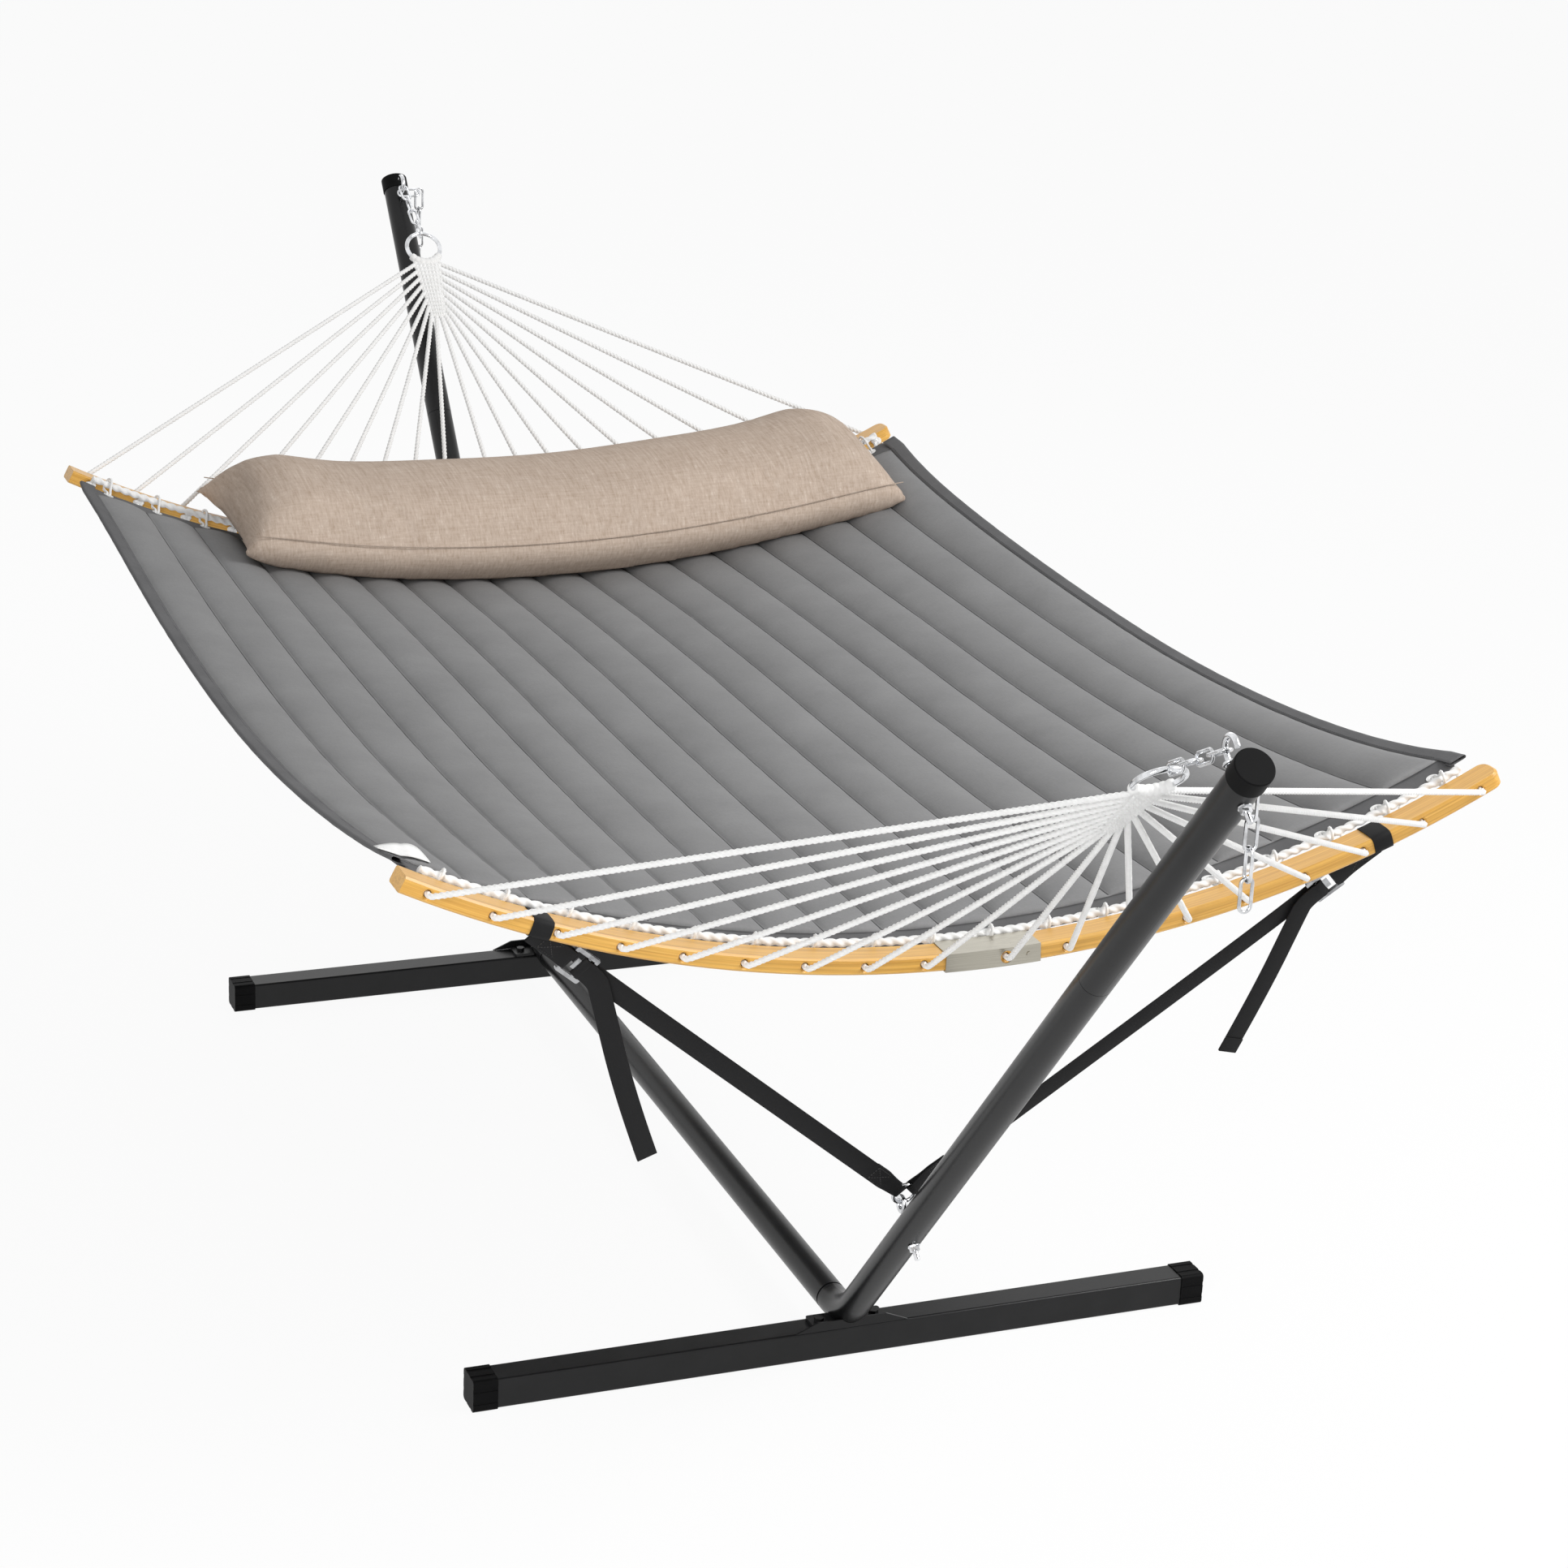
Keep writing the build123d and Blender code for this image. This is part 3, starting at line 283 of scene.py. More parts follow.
def linen(name, shade):
    """Slubby weave with pale flecks, the heavier threads along the pillow's depth; shade scales its colour,
    and below 1 it is painted shade.
    """
    material, tree, shader = new_material(name)
    along = noise_of(tree, coordinates(tree, (240, 24, 240)), 1.0, 4.0, 0.7)
    across = noise_of(tree, coordinates(tree, (17, 230, 60)), 1.0, 4.0, 0.75)
    weave = sums(tree, "ADD", sums(tree, "MULTIPLY", along, 0.35), sums(tree, "MULTIPLY", across, 0.65))
    stops = (
        (0.30, (0.40, 0.30, 0.225)), (0.46, (0.525, 0.418, 0.337)),
        (0.58, (0.60, 0.49, 0.405)), (0.72, (0.76, 0.67, 0.58)),
    )
    base = ramp(tree, weave, *[(at, tuple(c * shade for c in colour)) for at, colour in stops])
    cloud = noise_of(tree, coordinates(tree), 7.0, 3.0)
    tone = ramp(tree, cloud, (0.3, (0.94, 0.94, 0.94)), (0.7, (1.0, 1.0, 1.0)))
    tree.links.new(blended(tree, "MULTIPLY", 1.0, base, tone), shader.inputs["Base Color"])
    shader.inputs["Roughness"].default_value = 0.92
    shader.inputs["Specular IOR Level"].default_value = 0.2
    bump(tree, shader, weave, 0.35, 0.0012)
    return material


def webbing():
    """Ribs across the strap, from its UV map in metres."""
    material, tree, shader = new_material("webbing")
    rib = node(tree, "ShaderNodeTexWave", wave_type="BANDS", bands_direction="Y", in_Scale=160.0)
    tree.links.new(coordinates(tree, source="UV"), rib.inputs["Vector"])
    fuzz = noise_of(tree, coordinates(tree), 900.0, 3.0)
    shade = ramp(tree, fuzz, (0.3, (0.0095, 0.0095, 0.010)), (0.75, (0.0135, 0.0135, 0.0142)))
    tree.links.new(shade, shader.inputs["Base Color"])
    shader.inputs["Roughness"].default_value = 0.62
    shader.inputs["Specular IOR Level"].default_value = 0.16
    bump(tree, shader, sums(tree, "ADD", rib.outputs["Fac"], sums(tree, "MULTIPLY", fuzz, 0.3)), 0.14, 0.0004)
    return material


def plain(name, dark, light, low, high):
    material, tree, shader = new_material(name)
    cloud = noise_of(tree, coordinates(tree), 120.0, 3.0)
    tree.links.new(ramp(tree, cloud, (0.3, dark), (0.7, light)), shader.inputs["Base Color"])
    roughness_range(tree, shader, cloud, low, high)
    return material


COAT = painted(
    "powder_coat", (0.0055, 0.0056, 0.006), (0.0095, 0.0096, 0.0102), (0.25, 0.35), 0.28, 900.0, 0.10
)
PLASTIC = painted(
    "black_plastic", (0.0036, 0.0036, 0.0038), (0.0062, 0.0062, 0.0065), (0.46, 0.58), 0.06, 1400.0, 0.2
)
ZINC = plated("zinc", 0.08, 0.20, (0.50, 0.505, 0.515), (0.80, 0.81, 0.83))
BUCKLE = plated("buckle_plate", 0.10, 0.22, (0.26, 0.262, 0.27), (0.46, 0.465, 0.475))
NICKEL = brushed_nickel()
COTTON = cotton()
GREY = grey_cloth("grey_cloth", (0.245, 0.245, 0.247), (0.280, 0.280, 0.282))
BINDING = grey_cloth("binding_cloth", (0.115, 0.115, 0.118), (0.150, 0.150, 0.153), 0.4)
THREAD = grey_cloth("seam_thread", (0.085, 0.085, 0.088), (0.11, 0.11, 0.112))
LINEN = linen("linen", 1.0)
# A darker copy of the pillow's linen for its seam strand: painted shade along the seam crease.
LINEN_SEAM_PAINTED_SHADE = linen("linen_seam_painted_shade", 0.80)
WEBBING = webbing()
STITCH = plain("strap_stitch", (0.03, 0.03, 0.03), (0.05, 0.05, 0.05), 0.5, 0.7)
WHITE = plain("white_plastic", (0.80, 0.80, 0.79), (0.88, 0.88, 0.87), 0.28, 0.38)
LABEL = plain("label_cloth", (0.84, 0.84, 0.83), (0.91, 0.91, 0.90), 0.7, 0.85)

SLOT_MATERIAL = {
    "powder_coat": COAT, "black_plastic": PLASTIC, "zinc": ZINC, "nickel": NICKEL, "cotton": COTTON,
    "grey_cloth": GREY, "linen": LINEN, "webbing": WEBBING, "white_plastic": WHITE,
}
BAMBOO = {end: bamboo(end) for end in SIDE}
for entry in frame["record"]["subparts"]:
    shown = frame["nodes"][entry["node"]]
    shown.data.materials.clear()
    if entry["material_slot"] == "bamboo":
        shown.data.materials.append(BAMBOO[entry["node"].split("_")[0]])
    elif "buckle" in entry["node"]:
        shown.data.materials.append(BUCKLE)
    else:
        shown.data.materials.append(SLOT_MATERIAL[entry["material_slot"]])


# Shape helpers
def smooth_line(route, fineness=12, closed=False):
    """Points read from the smooth curve that a route's points steer."""
    curve = bpy.data.curves.new("route", "CURVE")
    curve.dimensions = "3D"
    spline = curve.splines.new("NURBS")
    spline.points.add(len(route) - 1)
    for point, place in zip(spline.points, route):
        point.co = (*place, 1.0)
    spline.order_u = 3
    spline.use_endpoint_u = not closed
    spline.use_cyclic_u = closed
    spline.resolution_u = fineness
    holder = bpy.data.objects.new("route", curve)
    mesh = bpy.data.meshes.new_from_object(holder)
    points = [vertex.co.copy() for vertex in mesh.vertices]
    bpy.data.meshes.remove(mesh)
    bpy.data.objects.remove(holder)
    bpy.data.curves.remove(curve)
    return points + points[:1] if closed else points


def line_length(points):
    return sum((b - a).length for a, b in zip(points[:-1], points[1:]))


def strand(length, radius, step, sides=12, lobes=0, lay=0.024, depth=0.14):
    """Straight strand up the Z axis: a ring spun up its length, twisted once every lay where it has lobes."""
    work = bmesh.new()
    bmesh.ops.create_circle(work, segments=sides, radius=radius)
    for vertex in work.verts:
        if lobes:
            vertex.co *= 1 - depth + depth * math.cos(lobes * math.atan2(vertex.co.y, vertex.co.x))
    steps = max(2, round(length / step))
    turn = 2 * math.pi * length / lay if lobes else 0.0
    bmesh.ops.spin(
        work, geom=work.edges[:], cent=(0, 0, 0), axis=(0, 0, 1), dvec=(0, 0, length / steps), angle=turn,
        steps=steps,
    )
    bmesh.ops.holes_fill(work, edges=[edge for edge in work.edges if edge.is_boundary], sides=0)
    return work


def cut(rope, length):
    """A length cut from a longer straight strand."""
    work = rope.copy()
    geometry = work.verts[:] + work.edges[:] + work.faces[:]
    bmesh.ops.bisect_plane(work, geom=geometry, plane_co=(0, 0, length), plane_no=(0, 0, 1), clear_outer=True)
    bmesh.ops.holes_fill(work, edges=[edge for edge in work.edges if edge.is_boundary], sides=0)
    return work


def lay_along(work, points, across=None):
    """Moves a straight piece from the Z axis onto a line, its X axis along across where that is given."""
    reach = [0.0]
    for a, b in zip(points[:-1], points[1:]):
        reach.append(reach[-1] + (b - a).length)
    last = len(points) - 1
    ahead = [(points[min(i + 1, last)] - points[max(i - 1, 0)]).normalized() for i in range(last + 1)]
    side = across or ahead[0].orthogonal()
    sides = []
    for direction in ahead:
        side = across or side
        side = (side - direction * side.dot(direction)).normalized()
        sides.append(side)
    stations = {}
    for vertex in work.verts:
        x, y, z = vertex.co
        if z not in stations:
            at = min(max(z, 0.0), reach[last])
            i = min(max(bisect.bisect_right(reach, at) - 1, 0), last - 1)
            share = (at - reach[i]) / (reach[i + 1] - reach[i])
            wide = sides[i].lerp(sides[i + 1], share).normalized()
            thick = ahead[i].lerp(ahead[i + 1], share).cross(wide).normalized()
            stations[z] = points[i].lerp(points[i + 1], share), wide, thick
        place, wide, thick = stations[z]
        vertex.co = place + wide * x + thick * y
    return work


def double_sheet(columns, rows, place):
    """Two grids, one for each face, joined round the edge; place(column, row, face) puts each point."""
    work = bmesh.new()
    for face in (1, -1):
        made = bmesh.ops.create_grid(work, x_segments=columns, y_segments=rows, size=0.5)
        for vertex in made["verts"]:
            vertex.co = place(round((vertex.co.x + 0.5) * columns), round((vertex.co.y + 0.5) * rows), face)
    bmesh.ops.bridge_loops(work, edges=[edge for edge in work.edges if edge.is_boundary])
    return work


def stitches(places, radius, length):
    """Short thread stitches; each place is a point and the direction of the thread."""
    work = bmesh.new()
    for point, direction in places:
        turn = direction.to_track_quat("Z", "Y").to_matrix().to_4x4()
        shape = Matrix.Diagonal((radius, radius, length / 2, 1.0))
        bmesh.ops.create_uvsphere(
            work, u_segments=6, v_segments=4, radius=1.0, matrix=Matrix.Translation(point) @ turn @ shape
        )
    return work


def gather(name, works, material, body):
    """One piece from several shapes."""
    whole = bmesh.new()
    mesh = bpy.data.meshes.new(name)
    for work in works:
        bmesh.ops.recalc_face_normals(work, faces=work.faces[:])
        work.to_mesh(mesh)
        work.free()
        whole.from_mesh(mesh)
    whole.to_mesh(mesh)
    whole.free()
    mesh.polygons.foreach_set("use_smooth", [True] * len(mesh.polygons))
    mesh.materials.append(material)
    piece = bpy.data.objects.new(name, mesh)
    scene.collection.objects.link(piece)
    if body:
        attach(piece, body)
    return piece


# Shape of the bars and the bed
def arc(middle, y, rise=0.0):
    angle = math.asin(y / BAR_R)
    reach = BAR_R - rise
    return reach * math.sin(angle), middle + BAR_R - reach * math.cos(angle)


def bed_station(x):
    share = (x / BED_HALF_SPAN) ** 2
    end = BAR_MIDDLE["front" if x > 0 else "rear"]
    return BED_MID + (end - BED_MID) * share, 1 / (1 / BED_MID_R + (1 / BAR_R - 1 / BED_MID_R) * share)


def bed_point(x, across, rise):
    """A point of the bed; its sides flare a little towards the ends."""
    height, radius = bed_station(x)
    flare = 0.024 * min(1.0, abs(x / BED_HALF_SPAN)) ** 6 * (across / BED_ARC) ** 5
    angle = (across + flare) / radius
    reach = radius - rise
    return Vector((x, reach * math.sin(angle), height + radius - reach * math.cos(angle)))


def bed_height(x, y, rise):
    height, radius = bed_station(x)
    return height + radius - math.sqrt((radius - rise) ** 2 - y**2)


def clew_frame(end):
    side = SIDE[end]
    top = Vector((side * RING_TOP.x, 0, RING_TOP.z))
    pull = (Vector((side * BAR_OUTER, 0, BAR_MIDDLE[end])) - top).normalized()
    return top + pull * RING_R, pull


def clew_half(distance):
    share = (distance - RING_R) / (CLEW_LENGTH - RING_R)
    return (0.057 + (0.031 - 0.057) * share) / 2


# Suspension cords with their knots
CORD = strand(1.1, CORD_R, 0.0025, 12, 3, 0.024)
KNOT_CORD = strand(0.16, 0.0036, 0.0030, 8)


def knotted(place, side):
    route = []
    for i in range(18):
        t = 2 * math.pi * i / 18
        spread_y = math.sin(t) + 2 * math.sin(2 * t)
        spread_z = math.cos(t) - 2 * math.cos(2 * t)
        spread = Vector((-math.sin(3 * t), spread_y, spread_z))
        route.append(place + Vector((spread.x * 0.0040 * side, spread.y * 0.0026, spread.z * 0.0026)))
    line = smooth_line(route, 3, closed=True)
    return lay_along(cut(KNOT_CORD, line_length(line)), line)


def suspension(end):
    side, middle = SIDE[end], BAR_MIDDLE[end]
    centre, pull = clew_frame(end)
    works = []
    for number in range(9):
        for hand, holes in ((-1, LEFT_HOLES), (1, RIGHT_HOLES)):
            if number < 2:
                leave_at, leave_y = CLEW_LENGTH, (number + 0.5) * CORD_SPACING
            else:
                leave_at = CLEW_LENGTH - (number - 1) * CORD_STEP
                leave_y = clew_half(leave_at)
            y, z = arc(middle, holes[number])
            leave = centre + pull * leave_at + Vector((0, hand * leave_y, 0))
            turn = Vector((side * CORD_TURN_X, y, z))
            mouth = Vector((side * CORD_MOUTH_X, y, z))
            knot = Vector((side * CORD_KNOT_X, y, z))
            run = (turn - leave).normalized()
            route = [leave - run * 0.005, leave + run * 0.047, turn - run * 0.020, turn, mouth, knot]
            line = smooth_line(route)
            works.append(lay_along(cut(CORD, line_length(line)), line))
            works.append(knotted(knot, side))
    piece = gather(f"{end}_cords", works, COTTON, "hammock")
    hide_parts(f"{end}_suspension_cords")


# Plaited clew with its top folded round the ring
def clew(end):
    centre, pull = clew_frame(end)
    wide = Vector((0, 1, 0))
    out = pull.cross(wide).normalized()
    columns, rows, plaits = 56, 120, 7

    def place(column, row, face):
        across = 2 * column / columns - 1
        start = math.sqrt(RING_R**2 - (across * 0.0265) ** 2)
        at = start + (CLEW_LENGTH + 0.003 - start) * row / rows
        rim = math.sqrt(max(0.0, 1 - abs(across) ** 3.0))
        lean = abs(2 * (column * plaits / columns % 1.0) - 1)
        stitch = 0.5 + 0.5 * math.cos(2 * math.pi * (at / CLEW_PLAIT + 0.5 * lean))
        height = rim * (0.0022 + 0.0020 * (1 - lean**2) + 0.0018 * stitch)
        scallop = 1 + 0.035 * math.sin(2 * math.pi * at / CLEW_PLAIT)
        return centre + pull * at + wide * (across * clew_half(at) * scallop) + out * (face * height)

    route = []
    for angle in (-56, -42, -28, -14, 0, 14, 28, 42, 56):
        turn = math.radians(angle)
        route.append(centre + (pull * math.cos(turn) + wide * math.sin(turn)) * (RING_R + 0.0006))
    line = smooth_line(route)
    length = line_length(line)
    fold = strand(length, 0.0068, 0.0012, 16)
    for vertex in fold.verts:
        swell = 1 + 0.16 * abs(math.sin(math.pi * plaits * vertex.co.z / length))
        vertex.co.x *= swell
        vertex.co.y *= swell
    works = [double_sheet(columns, rows, place), lay_along(fold, line)]
    piece = gather(f"{end}_clew_mat", works, COTTON, "hammock")
    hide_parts(f"{end}_clew")


# Lacing rope with its short loops into the eyelets
def lacing(end):
    side, middle = SIDE[end], BAR_MIDDLE[end]
    route = []
    for number, y in enumerate([-BED_HALF_WIDTH, *EYELETS, BED_HALF_WIDTH]):
        pulled = 0.0013 if 0 < number <= len(EYELETS) else 0.0
        spot_y, spot_z = arc(middle, y, 0.0145 - pulled)
        route.append(Vector((side * (BAR_INNER - 0.0095 - pulled), spot_y, spot_z)))
    line = smooth_line(route)
    works = [lay_along(strand(line_length(line), 0.0066, 0.0030, 14, 2, 0.036, 0.17), line)]
    for y in EYELETS:
        angle = math.asin(y / BAR_R)
        up = Vector((0, -math.sin(angle), math.cos(angle)))
        along = Vector((0, math.cos(angle), math.sin(angle)))
        spot_y, spot_z = arc(middle, y)
        eye = Vector((side * EYELET_X, spot_y, spot_z))
        shape = (
            (0.0005, -0.008, 0.0022), (0.0, 0.006, 0.0024), (0.013, 0.0068, 0.0035), (0.022, 0.0150, 0.0045),
            (0.029, 0.0255, 0.0030), (0.0440, 0.0235, 0.0), (0.0415, 0.0090, -0.0025),
            (0.030, 0.0030, -0.0042), (0.012, 0.0046, -0.0034), (0.0, 0.0045, -0.0024),
            (0.0005, -0.008, -0.0022),
        )
        loop = smooth_line([eye + Vector((side, 0, 0)) * a + up * b + along * c for a, b, c in shape], 6)
        works.append(lay_along(strand(line_length(loop), 0.0027, 0.0028, 8, 3, 0.018), loop))
    piece = gather(f"{end}_lacing_rope", works, COTTON, "hammock")
    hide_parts(f"{end}_lacing")


# Cloth end band, open under each eyelet
def end_band(end):
    side, middle = SIDE[end], BAR_MIDDLE[end]
    xs = [
        BAND_OUTER, BAND_OUTER - 0.004, EYELET_X + 0.005, EYELET_X - 0.005, BAND_OUTER - 0.027,
        BAND_OUTER - 0.034, BAND_OUTER - 0.042, BED_HALF_SPAN,
    ]
    ys = [-BED_HALF_WIDTH]
    for y in EYELETS:
        ys.extend((y - 0.022, y - 0.005, y + 0.005, y + 0.022))
    ys.append(BED_HALF_WIDTH)
    columns, rows = len(ys) - 1, len(xs) - 1
    work = bmesh.new()
    bmesh.ops.create_grid(work, x_segments=columns, y_segments=rows, size=0.5)
    for vertex in work.verts:
        x = xs[round((vertex.co.y + 0.5) * rows)]
        y = ys[round((vertex.co.x + 0.5) * columns)]
        if abs(y) == BED_HALF_WIDTH:
            y *= 1 + 0.026 * (BAND_OUTER - x) / 0.050
        spot_y, spot_z = arc(middle, y, 0.0006 * noise.noise(Vector((x * 40, y * 28, side))))
        vertex.co = (side * x, spot_y, spot_z)
    work.normal_update()
    holes = []
    for face in work.faces:
        middle_of = face.calc_center_median()
        if abs(abs(middle_of.x) - EYELET_X) < 0.002 and min(abs(middle_of.y - y) for y in EYELETS) < 0.003:
            holes.append(face)
    bmesh.ops.delete(work, geom=holes, context="FACES")
    was = sum(vertex.co.z for vertex in work.verts) / len(work.verts)
    bmesh.ops.solidify(work, geom=work.faces[:], thickness=0.0025)
    now = sum(vertex.co.z for vertex in work.verts) / len(work.verts)
    bmesh.ops.translate(work, vec=(0, 0, was - now), verts=work.verts[:])
    piece = gather(f"{end}_band_cloth", [work], BINDING, "hammock")
    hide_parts(f"{end}_end_band")


# Quilted bed: puffed channels between sewn seams, puckered along them
def puff(x, across, top):
    half = BED_ARC - BED_HEM
    if abs(across) >= half:
        return 0.0
    place = (across + half) / CHANNEL
    number = min(int(place), CHANNELS - 1)
    t = place - number
    body = (1 - (2 * t - 1) ** 2) ** 0.72
    fade = min(1.0, (BED_HALF_SPAN - abs(x)) / 0.05) ** 0.5 if abs(x) < BED_HALF_SPAN else 0.0
    swell = 1 + 0.14 * noise.noise(Vector((x * 3.1, number * 7.3, 0.0 if top else 5.0)))
    height = (0.0132 if top else 0.0052) * body * swell * (0.35 + 0.65 * fade)
    near = min(t, 1 - t) * CHANNEL
    wave = noise.noise(Vector((x * 26, number * 3.7 + (0.5 if t > 0.5 else 0.0), 2.0)))
    soft = noise.noise(Vector((x * 9, across * 14, 8.0)))
    height += 0.0011 * wave * math.exp(-((near - 0.010) / 0.009) ** 2) + 0.0007 * soft * body
    return max(height, 0.0)


def quilted_bed():
    half = BED_ARC - BED_HEM
    stations = [-BED_ARC, -BED_ARC + 0.011]
    for number in range(CHANNELS):
        for t in (0.0, 0.035, 0.09, 0.18, 0.32, 0.5, 0.68, 0.82, 0.91, 0.965):
            stations.append(-half + (number + t) * CHANNEL)
    stations.extend((half, BED_ARC - 0.011, BED_ARC))
    columns, rows = len(stations) - 1, 200

    def place(column, row, face):
        x = BED_HALF_SPAN * (2 * row / rows - 1)
        return bed_point(x, stations[column], face * (0.0013 + puff(x, stations[column], face > 0)))

    bed = gather("quilted_bed", [double_sheet(columns, rows, place)], GREY, "hammock")
    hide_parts("bed")
    # Sewn seams, then the folded binding of each side with its stitches
    works = []
    for number in range(CHANNELS + 1):
        seam = strand(2 * BED_HALF_SPAN - 0.008, 0.0012, 0.025, 5)
        for vertex in seam.verts:
            x, y, z = vertex.co
            vertex.co = bed_point(z - BED_HALF_SPAN + 0.004, -half + number * CHANNEL + x, 0.0017 + y)
        works.append(seam)
    gather("bed_seams", works, THREAD, "hammock")
    for name, hand in (("left", -1), ("right", 1)):
        work = bmesh.new()
        bmesh.ops.create_grid(work, x_segments=12, y_segments=160, size=0.5)
        for vertex in work.verts:
            fold, x = vertex.co.x, vertex.co.y * 2 * (BED_HALF_SPAN + 0.038)
            bend = min(max(fold / 0.12, -1.0), 1.0) * math.pi / 2
            inward = max(abs(fold) - 0.12, 0.0) / 0.38 * 0.0215
            loose = 1 + 0.16 * noise.noise(Vector((x * 30, hand, fold)))
            across = hand * (BED_ARC - inward + 0.0026 * math.cos(bend) * loose)
            vertex.co = bed_point(x, across, 0.0030 * math.sin(bend) * loose)
        work.normal_update()
        bmesh.ops.solidify(work, geom=work.faces[:], thickness=0.0006)
        gather(f"{name}_binding", [work], BINDING, "hammock")
        places = []
        for i in range(340):
            x = -BED_HALF_SPAN + 0.005 + i * 0.006
            if abs(x) < BED_HALF_SPAN - 0.003:
                places.append((bed_point(x, hand * (BED_ARC - 0.0175), 0.0034), Vector((1, 0, 0))))
        runs = [stitches(places[i:i + 40], 0.0006, 0.0042) for i in range(0, len(places), 40)]
        gather(f"{name}_binding_stitches", runs, THREAD, "hammock")


# Blank cloth label sewn by one end to the bed's left side
def label():
    work = bmesh.new()
    bmesh.ops.create_grid(work, x_segments=4, y_segments=16, size=0.5)
    for vertex in work.verts:
        share = vertex.co.y + 0.5
        x, across = LABEL_X + vertex.co.x * LABEL_WIDTH, LABEL_FROM + LABEL_REACH * share
        bow = (0.008 - 0.014 * vertex.co.x) * math.sin(math.pi * share)
        vertex.co = bed_point(x, across, 0.0052 + 0.75 * puff(x, across, True) + bow)
    work.normal_update()
    bmesh.ops.solidify(work, geom=work.faces[:], thickness=0.0007)
    piece = gather("side_label", [work], LABEL, "hammock")


# Pillow: a remeshed cover swelled by cloth pressure, gathered along its seams
def apply(piece):
    """Turns the modifiers of a piece into its mesh."""
    made = bpy.data.meshes.new_from_object(piece.evaluated_get(bpy.context.evaluated_depsgraph_get()))
    piece.modifiers.clear()
    old = piece.data
    piece.data = made
    bpy.data.meshes.remove(old)


def seam_height(y, back):
    """Height of the pillow's front or back seam at a distance along it."""
    bend = math.sqrt(max(0.0, 1 - ((y - PILLOW_Y) / PILLOW_HALF) ** 2))
    if back:
        return arc(BAR_MIDDLE["rear"], y)[1] + 0.027 + 0.060 * bend**0.4
    return bed_height(PILLOW_FRONT, y, 0.0115) + 0.080 * bend**0.4


def front_swell(over):
    """How far the pillow's side swells out at a height over its seam."""
    full = 0.021 * math.exp(-(((over + 0.022) / 0.036) ** 2))
    tucked = 0.019 * math.exp(-(((over + 0.080) / 0.020) ** 2))
    return full - tucked


def end_fullness(y):
    """From 0 at the pillow's two ends to 1 along most of its length."""
    share = min(1.0, max(0.0, (PILLOW_HALF - abs(y - PILLOW_Y)) / 0.085))
    return math.sin(share * math.pi / 2) ** 0.8


def end_lift(y):
    """The left end stands a little off the bed."""
    return 0.018 * max(0.0, 1 - (y - PILLOW_Y + PILLOW_HALF) / 0.26) ** 1.5


def longer(y):
    """The filled pillow lies a little longer than its cut, more so at its left end."""
    return PILLOW_Y + (y - PILLOW_Y) * (1.028 if y < PILLOW_Y else 1.014)


